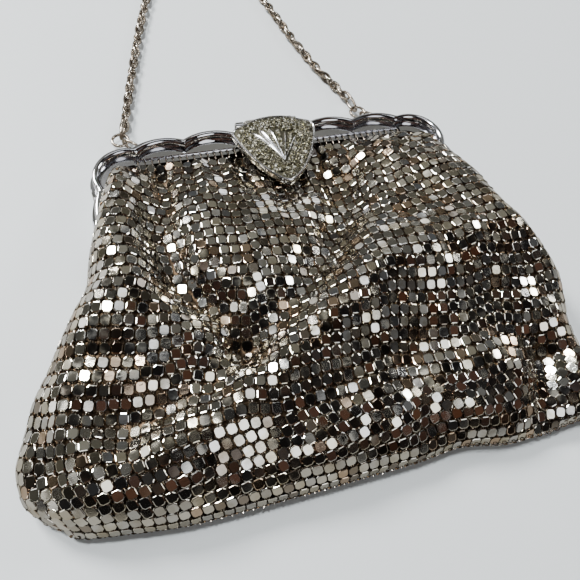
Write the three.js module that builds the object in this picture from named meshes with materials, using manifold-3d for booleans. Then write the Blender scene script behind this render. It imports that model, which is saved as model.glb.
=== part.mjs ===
// A small evening purse of flat metal mesh on a scalloped chrome frame, with a stone-set clasp and a
// chain handle. It lies on its back with its front up.
// Millimetres. X runs along the frame, +Y points from the bag to the frame and the handle, +Z is up.
// The origin is on the underside of the clasp's hinge plate, in the middle of the back jaw.

import * as THREE from 'three';
import { mergeVertices } from 'three/addons/utils/BufferGeometryUtils.js';
import Module from 'manifold-3d';

const wasm = await Module();
wasm.setup();

const { ShapeUtils } = THREE;

// General clearances
const seatGap = 0.3; // between pieces that touch on the real purse

// Jaws
const railTop = 5; // Y of the notches at the middle of the top rail
const railDepth = 6.4; // from there down to the edge that the mesh hangs on
const railArch = 1.5; // drop of the rail from its middle to the corner notch
const centreChord = 22.6; // chord of the scallop behind the clasp
const scallopChord = 14.8; // chord of each plain scallop
const scallopBulge = 1.9;
const cornerReach = 11; // corner scallop, from its upper notch outwards
const cornerDrop = 13.6; // and downwards
const cornerBulge = 5.6;
const armLength = 15.5; // side scallop, from the corner notch to the hinge
const armBulge = 1.4;
const armWidth = 4.1; // at the corner
const armEndWidth = 2.6; // at the hinge, room for two ears
const jawHeight = 4.3; // each jaw, from the parting plane to the top of its lip
const plateThickness = 2; // jaw plate under the flat face
const lipWidth = 2.3;
const lipLand = 0.7; // flat top of the lip
const stripStep = 0.5; // the strip of holes lies this much below the face
const stripWidth = 1.9;
const backOverhang = 1.2; // the back jaw stands out this much all round
const holePitch = 2;
const holeDiameter = 0.9;
const holeEdge = 1.25; // hole centre to the edge of the strip
const scallopSteps = 6;

// Frame hinges, one rivet at each end of the arms
const earThickness = 1.1;
const earRadius = 2.4;
const rivetDiameter = 1.2;
const rivetHeadDiameter = 2.4;
const rivetHeadThickness = 0.5;

// Clasp
const claspWidth = 25;
const claspHeight = 24.6;
const claspThickness = 1.6;
const claspLift = 1; // clear of the front jaw's lip
const claspTopMargin = 1.2; // the shield starts this far in from the front jaw's top edge
const hingePinDiameter = 1.2;
const barrelDiameter = 2.6;
const barrelLength = 13.4;
const lugLength = 2.5;
const hingePlateThickness = 2.6; // fills the back jaw's tray and is soldered to its face
const strapThickness = 1.4;
const stonePitch = 1.95;
const stoneDiameter = 1.7;
const stoneHeight = 0.75;
const stoneEdgeMargin = 1.25; // stone centre to the shield's edge
const ribHeight = 1.5;
const ribWidth = 0.8;

// Handle
const chainDiameter = 3.2;
const chainRest = 0.05; // chain above the surface
const ringDiameter = 4.7; // across the wire's centre line
const ringWire = 0.9;
const linkLength = 7; // the upright link in each eyelet, along its wire's centre line
const linkHeight = 3.4;
const ringSwing = 47; // the links lie this far round to the left of +Y
const eyeletSpread = 38; // eyelet to the middle of the frame
const eyeletBore = 2.3;
const eyeletWall = 0.8;
const eyeletThickness = 1.2;
const chainStep = 8; // length of one step of the tube

// Bag
const bagLength = 97.8; // from the strip of holes to the bottom edge
const bagHalfWidth = 77; // widest half, near the bottom
const neckShare = 0.622; // the table's width that is as wide as the room between the arms
const bagCrown = 16; // highest swell above the surface it lies on
const meshWall = 1.2;
const seamHeight = 3; // side seams above the surface
const sideRoll = 10; // width of the rounding along the sides, where it is widest
const bottomRoll = 8;
const gatherPitch = 7.6; // ripples under the strip
const gatherDepth = 1.4;
const bagColumns = 24; // of facets across the front
const rowSpacing = 0.07; // of facets down it, as a share of its length

// Levels worked out from the sizes above
const partingTop = jawHeight + seatGap; // underside of the front jaw
const frontTop = partingTop + jawHeight;
const stripEdge = railTop - railDepth;

// Helpers

// The closed triangle mesh of a geometry as a solid that can be cut and joined.
function solidOf(geometry) {
  const bare = geometry.clone();
  for (const name of Object.keys(bare.attributes)) {
    if (name !== 'position') bare.deleteAttribute(name);
  }
  const merged = mergeVertices(bare, 1e-4);
  return new wasm.Manifold(new wasm.Mesh({
    numProp: 3,
    vertProperties: new Float32Array(merged.attributes.position.array),
    triVerts: new Uint32Array(merged.index.array),
  }));
}

function geometryOf(solid) {
  const mesh = solid.getMesh();
  const geometry = new THREE.BufferGeometry();
  geometry.setAttribute('position', new THREE.BufferAttribute(new Float32Array(mesh.vertProperties), 3));
  geometry.setIndex(new THREE.BufferAttribute(new Uint32Array(mesh.triVerts), 1));
  const flat = geometry.toNonIndexed();
  flat.computeVertexNormals();
  return flat;
}

function joined(solids) {
  return solids.reduce((sum, solid) => sum.add(solid));
}

function box(x0, x1, y0, y1, z0, z1) {
  const geometry = new THREE.BoxGeometry(x1 - x0, y1 - y0, z1 - z0);
  geometry.translate((x0 + x1) / 2, (y0 + y1) / 2, (z0 + z1) / 2);
  return solidOf(geometry);
}

// A round bar along X.
function barAlongX(diameter, x0, x1, y, z, sides = 12) {
  const geometry = new THREE.CylinderGeometry(diameter / 2, diameter / 2, x1 - x0, sides);
  geometry.rotateZ(Math.PI / 2);
  geometry.translate((x0 + x1) / 2, y, z);
  return solidOf(geometry);
}

// The solid between two flat loops with the same number of points, at two heights.
function loft(lowLoop, lowZ, highLoop, highZ) {
  const ordered = (loop) => (ShapeUtils.isClockWise(lowLoop) ? [...loop].reverse() : [...loop]);
  const low = ordered(lowLoop);
  const high = ordered(highLoop);
  const count = low.length;
  const points = [...low.map((p) => [p.x, p.y, lowZ]), ...high.map((p) => [p.x, p.y, highZ])];
  const triangles = [];
  for (const [a, b, c] of ShapeUtils.triangulateShape(low, [])) triangles.push(a, c, b);
  for (const face of ShapeUtils.triangulateShape(high, [])) triangles.push(...face.map((i) => i + count));
  for (let i = 0; i < count; i += 1) {
    const j = (i + 1) % count;
    triangles.push(i, j, j + count, i, j + count, i + count);
  }
  const geometry = new THREE.BufferGeometry();
  geometry.setAttribute('position', new THREE.Float32BufferAttribute(points.flat(), 3));
  geometry.setIndex(triangles);
  return solidOf(geometry);
}

function prism(loop, z0, z1) {
  return loft(loop, z0, loop, z1);
}

// The circle through three points, as its centre and radius.
function circleThrough(a, b, c) {
  const d = 2 * (a.x * (b.y - c.y) + b.x * (c.y - a.y) + c.x * (a.y - b.y));
  const centre = new THREE.Vector2(
    (a.lengthSq() * (b.y - c.y) + b.lengthSq() * (c.y - a.y) + c.lengthSq() * (a.y - b.y)) / d,
    (a.lengthSq() * (c.x - b.x) + b.lengthSq() * (a.x - c.x) + c.lengthSq() * (b.x - a.x)) / d,
  );
  return { centre, radius: centre.distanceTo(a) };
}

// Points along the arc from a through m to b, without b itself.
function arcPoints(a, m, b, steps) {
  const { centre, radius } = circleThrough(a, m, b);
  const start = Math.atan2(a.y - centre.y, a.x - centre.x);
  let turn = Math.atan2(b.y - centre.y, b.x - centre.x) - start;
  const half = Math.atan2(m.y - centre.y, m.x - centre.x) - start;
  const wrap = (angle, sign) => (sign > 0 ? (angle + 4 * Math.PI) : (angle - 4 * Math.PI)) % (2 * Math.PI);
  if (wrap(half, 1) > wrap(turn, 1)) turn = wrap(turn, -1);
  else turn = wrap(turn, 1);
  return Array.from({ length: steps }, (_, i) => new THREE.Vector2(
    centre.x + radius * Math.cos(start + (turn * i) / steps),
    centre.y + radius * Math.sin(start + (turn * i) / steps),
  ));
}

// Jaws

// The notches of the right half, from the middle of the rail to the hinge, and the bulge that follows
// each one.
function rightNotches() {
  const cornerX = centreChord / 2 + 2 * scallopChord;
  const railY = (x) => railTop - railArch * (x / cornerX) ** 2;
  const first = centreChord / 2;
  const second = first + scallopChord;
  return [
    { x: first, y: railY(first), bulge: scallopBulge },
    { x: second, y: railY(second), bulge: scallopBulge },
    { x: cornerX, y: railY(cornerX), bulge: cornerBulge },
    { x: cornerX + cornerReach, y: railY(cornerX) - cornerDrop, bulge: armBulge },
    { x: cornerX + cornerReach + 0.2, y: railY(cornerX) - cornerDrop - armLength, bulge: 0 },
  ];
}

const notches = rightNotches();
const cornerNotch = notches[3];
const armEnd = notches[4].y;
const armInner = cornerNotch.x - armWidth;
const armEndInner = notches[4].x - armEndWidth;

// The scalloped edge from the left hinge over the rail to the right hinge, moved inwards by inset.
// Each scallop is an arc about its own centre, and neighbours meet on the line through their notch.
function scallopEdge(inset) {
  const right = notches.map((n) => new THREE.Vector2(n.x, n.y));
  const left = right.map((p) => new THREE.Vector2(-p.x, p.y)).reverse();
  const corners = [...left, ...right];
  const bulges = [...notches.slice(0, 4).map((n) => n.bulge).reverse(), scallopBulge,
    ...notches.slice(0, 4).map((n) => n.bulge)];
  const arcs = bulges.map((bulge, i) => {
    const a = corners[i];
    const b = corners[i + 1];
    const outward = new THREE.Vector2(-(b.y - a.y), b.x - a.x).normalize();
    const top = a.clone().add(b).multiplyScalar(0.5).addScaledVector(outward, bulge);
    const { centre, radius } = circleThrough(a, top, b);
    return { centre, radius, top: top.addScaledVector(outward, -inset), outward };
  });
  const meet = corners.map((corner, i) => {
    const before = arcs[Math.max(i - 1, 0)];
    const after = arcs[Math.min(i, arcs.length - 1)];
    const inward = before.outward.clone().add(after.outward).normalize().negate();
    if (i === 0 || i === corners.length - 1) inward.set(-Math.sign(corner.x), 0);
    const depth = [before, after].map(({ centre, radius }) => {
      const toCentre = centre.clone().sub(corner);
      const along = toCentre.dot(inward);
      const apart = toCentre.lengthSq() - along ** 2;
      return along - Math.sqrt(Math.max((radius - inset) ** 2 - apart, 0));
    });
    return corner.clone().addScaledVector(inward, (depth[0] + depth[1]) / 2);
  });
  const points = arcs.flatMap((arc, i) => arcPoints(meet[i], arc.top, meet[i + 1], scallopSteps));
  return [...points, meet[meet.length - 1]];
}

// The inner edge of a jaw, from the right hinge over the strip of holes to the left one.
function innerEdge() {
  const stripEnd = notches[2].x;
  const bend = new THREE.Vector2(armInner, cornerNotch.y + 2);
  const start = new THREE.Vector2(stripEnd, stripEdge);
  const mid = new THREE.Vector2(
    stripEnd + (armInner - stripEnd) * 0.76,
    stripEdge + (bend.y - stripEdge) * 0.32,
  );
  const corner = [new THREE.Vector2(armEndInner, armEnd), ...arcPoints(bend, mid, start, 4), start];
  return [...corner, ...corner.map((p) => new THREE.Vector2(-p.x, p.y)).reverse()];
}

function holes(z0, z1) {
  const count = 2 * Math.floor((notches[2].x - holeDiameter) / holePitch) + 1;
  const pins = [];
  for (let i = 0; i < count; i += 1) {
    const pin = new THREE.CylinderGeometry(holeDiameter / 2, holeDiameter / 2, z1 - z0, 5);
    pin.rotateX(Math.PI / 2);
    pin.translate((i - (count - 1) / 2) * holePitch, stripEdge + holeEdge, (z0 + z1) / 2);
    pins.push(solidOf(pin));
  }
  return joined(pins);
}

// One jaw with its lip up: a plate, a lip that slopes down to the flat face, and the lower strip.
function jawBlank(base, overhang) {
  const face = base + plateThickness;
  const top = base + jawHeight;
  const overshoot = 0.6;
  const slope = (lipWidth - lipLand) / (top - face);
  const inner = innerEdge();
  const close = (edge) => [...edge, new THREE.Vector2(edge[0].x * -1, armEnd - 2),
    new THREE.Vector2(edge[0].x, armEnd - 2)];
  const blank = prism([...scallopEdge(-overhang), ...inner], base, top);
  const tray = loft(
    close(scallopEdge(lipWidth - overhang)),
    face,
    close(scallopEdge(lipLand - overhang - slope * overshoot)),
    top + overshoot,
  );
  const strip = box(-notches[2].x, notches[2].x, stripEdge - 1, stripEdge + stripWidth,
    face - stripStep, top + overshoot);
  return blank.subtract(tray).subtract(strip).subtract(holes(base - 1, top));
}

// The two ears at each hinge lie side by side along X, the front jaw's outside.
const hingeY = armEnd;
const hingeZ = partingTop - seatGap / 2;
const earInner = { x0: armEndInner, x1: armEndInner + earThickness };
const earOuter = { x0: earInner.x1 + seatGap, x1: earInner.x1 + seatGap + earThickness };

function ear(side, span) {
  const [x0, x1] = [side * span.x0, side * span.x1].sort((a, b) => a - b);
  return barAlongX(2 * earRadius, x0, x1, hingeY, hingeZ, 14);
}

function earSlot(side, span) {
  const [x0, x1] = [side * span.x0, side * span.x1].sort((a, b) => a - b);
  return barAlongX(2 * (earRadius + seatGap), x0 - seatGap, x1 + seatGap, hingeY, hingeZ, 14);
}

function rivetBore(side) {
  const [x0, x1] = [side * (earInner.x0 - 2), side * (cornerNotch.x + 4)].sort((a, b) => a - b);
  return barAlongX(rivetDiameter + 2 * seatGap, x0, x1, hingeY, hingeZ);
}

function rivetHeadRoom(side) {
  const head = rivetHeadDiameter + 2 * seatGap;
  const depth = rivetHeadThickness + 2 * seatGap;
  const outer = [side * earOuter.x1, side * (earOuter.x1 + depth)].sort((a, b) => a - b);
  const inner = [side * (earInner.x0 - depth), side * earInner.x0].sort((a, b) => a - b);
  return barAlongX(head, ...outer, hingeY, hingeZ).add(barAlongX(head, ...inner, hingeY, hingeZ));
}

function rivet(side) {
  const gap = seatGap;
  const x0 = earInner.x0 - gap;
  const x1 = earOuter.x1 + gap;
  const bar = (diameter, a, b) => {
    const [low, high] = [side * a, side * b].sort((p, q) => p - q);
    return barAlongX(diameter, low, high, hingeY, hingeZ);
  };
  return joined([
    bar(rivetDiameter, x0 - rivetHeadThickness / 2, x1 + rivetHeadThickness / 2),
    bar(rivetHeadDiameter, x0 - rivetHeadThickness, x0),
    bar(rivetHeadDiameter, x1, x1 + rivetHeadThickness),
  ]);
}

function jawWithEars(blank, ownEar, otherEar) {
  let jaw = blank;
  for (const side of [-1, 1]) {
    jaw = jaw.subtract(earSlot(side, otherEar)).subtract(rivetHeadRoom(side));
    jaw = jaw.add(ear(side, ownEar)).subtract(rivetBore(side));
  }
  return jaw;
}

// Clasp hinge: the barrel stands just behind the jaws' middle scallop.
const frontScallopTop = railTop + scallopBulge;
const hingeAxisY = frontScallopTop + 2 * seatGap + barrelDiameter / 2;
const hingeAxisZ = jawHeight + 2 * seatGap + barrelDiameter / 2;
const lugInner = barrelLength / 2 + seatGap;
const lugOuter = lugInner + lugLength;
const hingeBore = hingePinDiameter + 2 * seatGap;

// A ring of wire: an oval in the plane of two directions, swept with a round section.
function wireOval(centre, reachA, reachB, wire, steps, sides) {
  class Oval extends THREE.Curve {
    getPoint(t, target = new THREE.Vector3()) {
      const angle = 2 * Math.PI * t;
      return target.copy(centre)
        .addScaledVector(reachA, Math.cos(angle))
        .addScaledVector(reachB, Math.sin(angle));
    }
  }
  const normal = reachA.clone().cross(reachB).normalize();
  const points = [];
  const triangles = [];
  const curve = new Oval();
  for (let i = 0; i < steps; i += 1) {
    const point = curve.getPoint(i / steps);
    const tangent = reachB.clone().multiplyScalar(Math.cos((2 * Math.PI * i) / steps))
      .addScaledVector(reachA, -Math.sin((2 * Math.PI * i) / steps)).normalize();
    const outward = tangent.clone().cross(normal);
    for (let j = 0; j < sides; j += 1) {
      const angle = (2 * Math.PI * j) / sides;
      const corner = point.clone()
        .addScaledVector(outward, (wire / 2) * Math.cos(angle))
        .addScaledVector(normal, (wire / 2) * Math.sin(angle));
      points.push(corner.x, corner.y, corner.z);
      const [a, b] = [i * sides + j, i * sides + ((j + 1) % sides)];
      const [c, d] = [((i + 1) % steps) * sides + j, ((i + 1) % steps) * sides + ((j + 1) % sides)];
      triangles.push(a, d, b, a, c, d);
    }
  }
  const geometry = new THREE.BufferGeometry();
  geometry.setAttribute('position', new THREE.Float32BufferAttribute(points, 3));
  geometry.setIndex(triangles);
  return geometry;
}

// Each eyelet is a round tab with an upright hole, soldered to the back jaw's edge.
const linkLevel = linkHeight / 2 + ringWire / 2 + chainRest;
const eyeletY = notches[2].y + backOverhang + eyeletBore / 2 + 1.7;

function eyelet(side) {
  const x = side * eyeletSpread;
  const radius = eyeletBore / 2 + eyeletWall;
  const disc = new THREE.CylinderGeometry(radius, radius, eyeletThickness, 14);
  disc.rotateX(Math.PI / 2);
  disc.translate(x, eyeletY, linkLevel);
  const web = box(x - radius, x + radius, eyeletY - 4, eyeletY,
    linkLevel - eyeletThickness / 2, linkLevel + eyeletThickness / 2);
  return solidOf(disc).add(web);
}

function eyeletHole(side) {
  const bore = new THREE.CylinderGeometry(eyeletBore / 2, eyeletBore / 2, eyeletThickness + 1, 12);
  bore.rotateX(Math.PI / 2);
  bore.translate(side * eyeletSpread, eyeletY, linkLevel);
  return solidOf(bore);
}

function backJaw() {
  const upright = jawBlank(0, backOverhang);
  const turned = upright.mirror([0, 0, 1]).translate([0, 0, jawHeight]);
  const jaw = jawWithEars(turned, earInner, earOuter);
  const plate = box(-lugOuter, lugOuter, -railDepth / 6, hingeAxisY, 0, hingePlateThickness);
  const lugs = [-1, 1].map((side) => {
    const [x0, x1] = [side * lugInner, side * lugOuter].sort((a, b) => a - b);
    const leg = box(x0, x1, hingeAxisY - barrelDiameter / 2, hingeAxisY + barrelDiameter / 2, 0, hingeAxisZ);
    return leg.add(barAlongX(barrelDiameter, x0, x1, hingeAxisY, hingeAxisZ));
  });
  return joined([jaw, plate, ...lugs, eyelet(-1), eyelet(1)])
    .subtract(barAlongX(hingeBore, -lugOuter - 1, lugOuter + 1, hingeAxisY, hingeAxisZ))
    .subtract(eyeletHole(-1).add(eyeletHole(1)));
}

function frontJaw() {
  return jawWithEars(jawBlank(partingTop, 0), earOuter, earInner);
}

// Clasp: a shield with stones, and a fan of ribs that spreads from a point above its tip.

const claspTop = frontScallopTop - claspTopMargin;
const claspBase = frontTop + claspLift;
const claspFace = claspBase + claspThickness;
const fanApex = new THREE.Vector2(0, claspTop - 0.72 * claspHeight);

// Half of the shield's outline from the middle of its top to its tip, as shares of its half width
// and its height.
const shieldOutline = [
  { across: 0, down: 0 },
  { across: 0.34, down: 0.02 },
  { across: 0.7, down: 0.09 },
  { across: 0.93, down: 0.13 },
  { across: 1, down: 0.19 },
  { across: 0.95, down: 0.3 },
  { across: 0.8, down: 0.5 },
  { across: 0.6, down: 0.71 },
  { across: 0.33, down: 0.89 },
  { across: 0.1, down: 0.99 },
];

function shieldLoop(inset) {
  const right = shieldOutline.map((row) => new THREE.Vector2(
    row.across * (claspWidth / 2 - inset),
    claspTop - inset - row.down * (claspHeight - 2 * inset),
  ));
  return [...right, ...right.slice(1).map((p) => new THREE.Vector2(-p.x, p.y)).reverse()];
}

function insideLoop(loop, x, y) {
  let inside = false;
  for (let i = 0, j = loop.length - 1; i < loop.length; j = i, i += 1) {
    const crosses = (loop[i].y > y) !== (loop[j].y > y);
    const edgeX = loop[i].x + ((y - loop[i].y) / (loop[j].y - loop[i].y)) * (loop[j].x - loop[i].x);
    if (crosses && x < edgeX) inside = !inside;
  }
  return inside;
}

// The fan's ribs: the turn from straight up, and the length as a share of the clasp's height.
const fanRibs = [
  { turn: 30, length: 0.55 },
  { turn: 20, length: 0.55 },
  { turn: 8, length: 0.52 },
  { turn: -14, length: 0.45 },
  { turn: -32, length: 0.42 },
];

function rib(row) {
  const length = row.length * claspHeight;
  const width = (share) => ribWidth * (0.55 + 0.45 * share);
  const loop = (inset) => [
    new THREE.Vector2(-width(0) / 2 + inset, 0),
    new THREE.Vector2(width(0) / 2 - inset, 0),
    new THREE.Vector2(width(1) / 2 - inset, length - inset),
    new THREE.Vector2(-width(1) / 2 + inset, length - inset),
  ];
  return loft(loop(0), claspFace - 0.4, loop(ribWidth * 0.2), claspFace + ribHeight)
    .rotate([0, 0, row.turn])
    .translate([fanApex.x, fanApex.y, 0]);
}

// A cut stone: eight crown facets round a flat table.
function stone(x, y, diameter) {
  const ring = (radius) => Array.from({ length: 8 }, (_, i) => new THREE.Vector2(
    x + radius * Math.cos(((i + 0.5) * Math.PI) / 4),
    y + radius * Math.sin(((i + 0.5) * Math.PI) / 4),
  ));
  return loft(ring(diameter / 2), claspFace - 0.2, ring(diameter * 0.27), claspFace + stoneHeight);
}

function stonePlaces() {
  const field = shieldLoop(stoneEdgeMargin);
  const left = fanRibs[0];
  const right = fanRibs[fanRibs.length - 1];
  const places = [];
  const rowHeight = stonePitch * 0.88;
  const rows = Math.ceil(claspHeight / rowHeight);
  for (let row = 0; row <= rows; row += 1) {
    const y = claspTop - stoneEdgeMargin - row * rowHeight;
    const shift = (row % 2) * 0.5;
    const half = Math.ceil(claspWidth / stonePitch / 2);
    for (let i = -half; i <= half; i += 1) {
      const x = (i + shift) * stonePitch;
      const turn = THREE.MathUtils.radToDeg(Math.atan2(fanApex.x - x, y - fanApex.y));
      const reach = Math.hypot(x - fanApex.x, y - fanApex.y) / claspHeight;
      const inFan = turn < left.turn + 6 && turn > right.turn - 6 && reach < 0.57;
      if (insideLoop(field, x, y) && !(inFan && y > fanApex.y)) places.push({ x, y });
    }
  }
  return places;
}

// Small stones between the ribs, in a row along the middle of each gap.
function fanStones() {
  const stones = [];
  for (let i = 1; i < fanRibs.length - 1; i += 1) {
    const turn = THREE.MathUtils.degToRad((fanRibs[i].turn + fanRibs[i + 1].turn) / 2);
    const length = Math.min(fanRibs[i].length, fanRibs[i + 1].length) * claspHeight;
    for (let reach = length * 0.5; reach < length - 0.5; reach += stonePitch * 0.92) {
      stones.push({ x: fanApex.x - reach * Math.sin(turn), y: fanApex.y + reach * Math.cos(turn) });
    }
  }
  return stones;
}

function clasp() {
  const plate = loft(shieldLoop(0.25), claspBase, shieldLoop(0), claspBase + 0.5)
    .add(loft(shieldLoop(0), claspBase + 0.5, shieldLoop(0.35), claspFace));
  const stones = [
    ...stonePlaces().map((p) => stone(p.x, p.y, stoneDiameter)),
    ...fanStones().map((p) => stone(p.x, p.y, stoneDiameter * 0.8)),
  ];
  const inside = hingeAxisY - barrelDiameter / 2;
  const outside = inside + strapThickness;
  const profile = [
    [outside, hingeAxisZ], [outside, claspBase], [inside, claspBase + strapThickness],
    [claspTop - 4, claspBase + strapThickness], [claspTop - 4, claspBase],
    [inside - 0.6, claspBase], [inside, claspBase - 0.6], [inside, hingeAxisZ],
  ].map(([y, z]) => new THREE.Vector2(y, z));
  const strap = prism(profile, -barrelLength / 2, barrelLength / 2)
    .rotate([90, 0, 90]);
  const barrel = barAlongX(barrelDiameter, -barrelLength / 2, barrelLength / 2, hingeAxisY, hingeAxisZ);
  return joined([plate, strap, barrel, ...fanRibs.map(rib), ...stones])
    .subtract(barAlongX(hingeBore, -barrelLength, barrelLength, hingeAxisY, hingeAxisZ));
}

function claspPin() {
  return barAlongX(hingePinDiameter, -lugOuter, lugOuter, hingeAxisY, hingeAxisZ);
}

// Handle: an upright link through each eyelet, a flat jump ring, then the chain.
// The chain's route on the surface, from the left end over the top to the right end.
const chainRoute = [
  [-41.8, 19], [-38.6, 33], [-36.4, 42.1], [-33.7, 53.2], [-30.6, 65], [-26.4, 79.4], [-20.6, 98],
  [-15.4, 112], [-9.8, 123.4], [-3.4, 128.6], [2.8, 124.8], [7.4, 113.6], [11.2, 97], [15.4, 76.5],
  [17.2, 68.5], [19.2, 58.7], [21.4, 49.2], [23.8, 40.1], [26.8, 31.3], [30.6, 21.6],
].map(([x, y]) => new THREE.Vector3(x, y, chainDiameter / 2 + chainRest));

const swing = new THREE.Vector3(
  -Math.sin(THREE.MathUtils.degToRad(ringSwing)),
  Math.cos(THREE.MathUtils.degToRad(ringSwing)),
  0,
);
const hookPitch = ringWire + 1.4 * seatGap; // between the centre lines of two hooked wires
const sideways = (direction) => new THREE.Vector3(-direction.y, direction.x, 0);
const upward = new THREE.Vector3(0, 0, 1);

// The centres of the link and the ring of one side, and of the chain's end link.
function linkCentres(side, chainEnd) {
  const hole = new THREE.Vector3(side * eyeletSpread, eyeletY, linkLevel);
  const link = hole.clone().addScaledVector(swing, linkLength / 2 - 0.17);
  const ring = link.clone().addScaledVector(swing, (linkLength + ringDiameter) / 2 - hookPitch);
  const away = chainEnd.clone().sub(ring).setZ(0).normalize();
  const hook = ring.clone().addScaledVector(away, ringDiameter / 2 - hookPitch);
  return { link, ring, away, hook };
}

function uprightLink(centre, along, length) {
  return wireOval(centre, along.clone().multiplyScalar(length / 2),
    upward.clone().multiplyScalar(linkHeight / 2), ringWire, 12, 5);
}

function flatRing(centre, along) {
  return wireOval(centre, along.clone().multiplyScalar(ringDiameter / 2),
    sideways(along).multiplyScalar(ringDiameter / 2), ringWire, 14, 5);
}

// The tube that stands for the chain, with an upright end link hooked into each ring.
function handleChain(ends) {
  const curve = new THREE.CatmullRomCurve3(chainRoute, false, 'centripetal');
  const section = new THREE.Shape(Array.from({ length: 8 }, (_, i) => new THREE.Vector2(
    (chainDiameter / 2) * Math.cos((i * Math.PI) / 4),
    (chainDiameter / 2) * Math.sin((i * Math.PI) / 4),
  )));
  const tube = new THREE.ExtrudeGeometry(section, {
    steps: Math.round(curve.getLength() / chainStep),
    bevelEnabled: false,
    extrudePath: curve,
  });
  const tips = [chainRoute[0], chainRoute[chainRoute.length - 1]];
  const links = ends.map(({ hook, away }, i) => {
    const length = hook.distanceTo(tips[i].clone().setZ(hook.z)) + ringWire;
    return solidOf(uprightLink(hook.clone().addScaledVector(away, length / 2), away, length));
  });
  return joined([solidOf(tube), ...links]);
}

// Bag

// Sections of the bag from the frame down. down is a share of the bag's length, left and right are
// shares of its half width, crown is a share of its highest swell and roll one of the side's rounding.
const bagSections = [
  { down: 0, left: 0.515, right: 0.515, crown: 0.48, roll: 0.3 },
  { down: 0.025, left: 0.555, right: 0.555, crown: 0.53, roll: 0.3 },
  { down: 0.06, left: 0.6, right: 0.6, crown: 0.62, roll: 0.3 },
  { down: 0.15, left: 0.615, right: 0.615, crown: 0.8, roll: 0.35 },
  { down: 0.298, left: 0.622, right: 0.622, crown: 0.94, roll: 0.5 },
  { down: 0.33, left: 0.705, right: 0.71, crown: 0.97, roll: 0.8 },
  { down: 0.42, left: 0.765, right: 0.768, crown: 1, roll: 1 },
  { down: 0.5, left: 0.825, right: 0.802, crown: 1, roll: 1 },
  { down: 0.62, left: 0.9, right: 0.845, crown: 0.96, roll: 1 },
  { down: 0.7, left: 0.95, right: 0.825, crown: 0.92, roll: 1 },
  { down: 0.77, left: 0.978, right: 0.802, crown: 0.86, roll: 1 },
  { down: 0.84, left: 1, right: 0.8, crown: 0.78, roll: 0.9 },
  { down: 0.9, left: 0.99, right: 0.9, crown: 0.7, roll: 0.8 },
  { down: 0.95, left: 0.945, right: 0.96, crown: 0.64, roll: 0.7 },
  { down: 1, left: 0.874, right: 0.92, crown: 0.6, roll: 0.6 },
];

// The bottom edge: how far it draws up towards the corners, as a share of the bag's length.
const bottomEdge = [
  { across: -1, up: 0.035 },
  { across: -0.84, up: 0.018 },
  { across: -0.6, up: 0 },
  { across: 0.1, up: 0.008 },
  { across: 0.26, up: 0.018 },
  { across: 0.46, up: -0.002 },
  { across: 0.7, up: 0.008 },
  { across: 0.9, up: 0.02 },
  { across: 1, up: 0.04 },
];

// Folds: a ridge or, with a negative height, a valley along a line. Places are shares of the bag's half
// width and length, the height is a share of the swell and the reach a share of the half width.
const bagFolds = [
  { name: 'long ridge', height: 0.34, reach: 0.15,
    line: [[-0.74, 0.87], [-0.39, 0.785], [-0.12, 0.64], [0.22, 0.52], [0.64, 0.47]] },
  { name: 'valley above it', height: -0.34, reach: 0.085,
    line: [[-0.66, 0.79], [-0.4, 0.72], [-0.18, 0.61], [0.03, 0.44], [0.17, 0.28], [0.19, 0.16]] },
  { name: 'valley of the left hump', height: -0.36, reach: 0.075,
    line: [[-0.46, 0.08], [-0.5, 0.29], [-0.47, 0.46], [-0.35, 0.55], [-0.32, 0.64]] },
  { name: 'left hump', height: 0.24, reach: 0.13,
    line: [[-0.57, 0.1], [-0.62, 0.3], [-0.66, 0.5]] },
  { name: 'right corner swell', height: 0.16, reach: 0.12,
    line: [[0.46, 0.1], [0.6, 0.3]] },
  { name: 'crease of the right corner', height: -0.26, reach: 0.075,
    line: [[0.62, 0.83], [0.58, 0.92], [0.55, 1]] },
  { name: 'crease of the left corner', height: -0.14, reach: 0.06,
    line: [[-0.91, 0.74], [-0.91, 0.86], [-0.88, 1]] },
  { name: 'lower left groove', height: -0.16, reach: 0.06,
    line: [[-0.73, 0.76], [-0.74, 0.94]] },
  { name: 'lower middle groove', height: -0.1, reach: 0.07,
    line: [[0.2, 0.78], [0.16, 0.92]] },
  { name: 'hollow under the clasp', height: -0.42, reach: 0.22,
    line: [[0, 0.02], [0, 0.2]] },
];

// The value of one column of a table at a place: a cubic through its rows that never overshoots them.
function tableValue(rows, key, column, place) {
  const last = rows.length - 1;
  const found = rows.findIndex((row) => row[key] > place);
  if (found === 0) return rows[0][column];
  if (found === -1) return rows[last][column];
  const rise = (i) => (rows[i + 1][column] - rows[i][column]) / (rows[i + 1][key] - rows[i][key]);
  const slope = (i) => {
    if (i === 0 || i === last) return 0;
    const [before, after] = [rise(i - 1), rise(i)];
    return before * after > 0 ? (2 * before * after) / (before + after) : 0;
  };
  const i = found - 1;
  const span = rows[found][key] - rows[i][key];
  const t = (place - rows[i][key]) / span;
  const start = rows[i][column];
  const end = rows[found][column];
  return start + (end - start) * t * t * (3 - 2 * t)
    + span * t * (1 - t) * (slope(i) * (1 - t) - slope(found) * t);
}

function distanceToLine(line, x, y) {
  let nearest = Infinity;
  for (let i = 0; i + 1 < line.length; i += 1) {
    const [ax, ay] = line[i];
    const [bx, by] = line[i + 1];
    const along = ((x - ax) * (bx - ax) + (y - ay) * (by - ay)) / ((bx - ax) ** 2 + (by - ay) ** 2);
    const t = Math.min(Math.max(along, 0), 1);
    nearest = Math.min(nearest, Math.hypot(x - ax - t * (bx - ax), y - ay - t * (by - ay)));
  }
  return nearest;
}

const foldLines = bagFolds.map((fold) => ({
  ...fold,
  line: fold.line.map(([x, y]) => [x * bagHalfWidth, y * bagLength]),
}));

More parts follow.
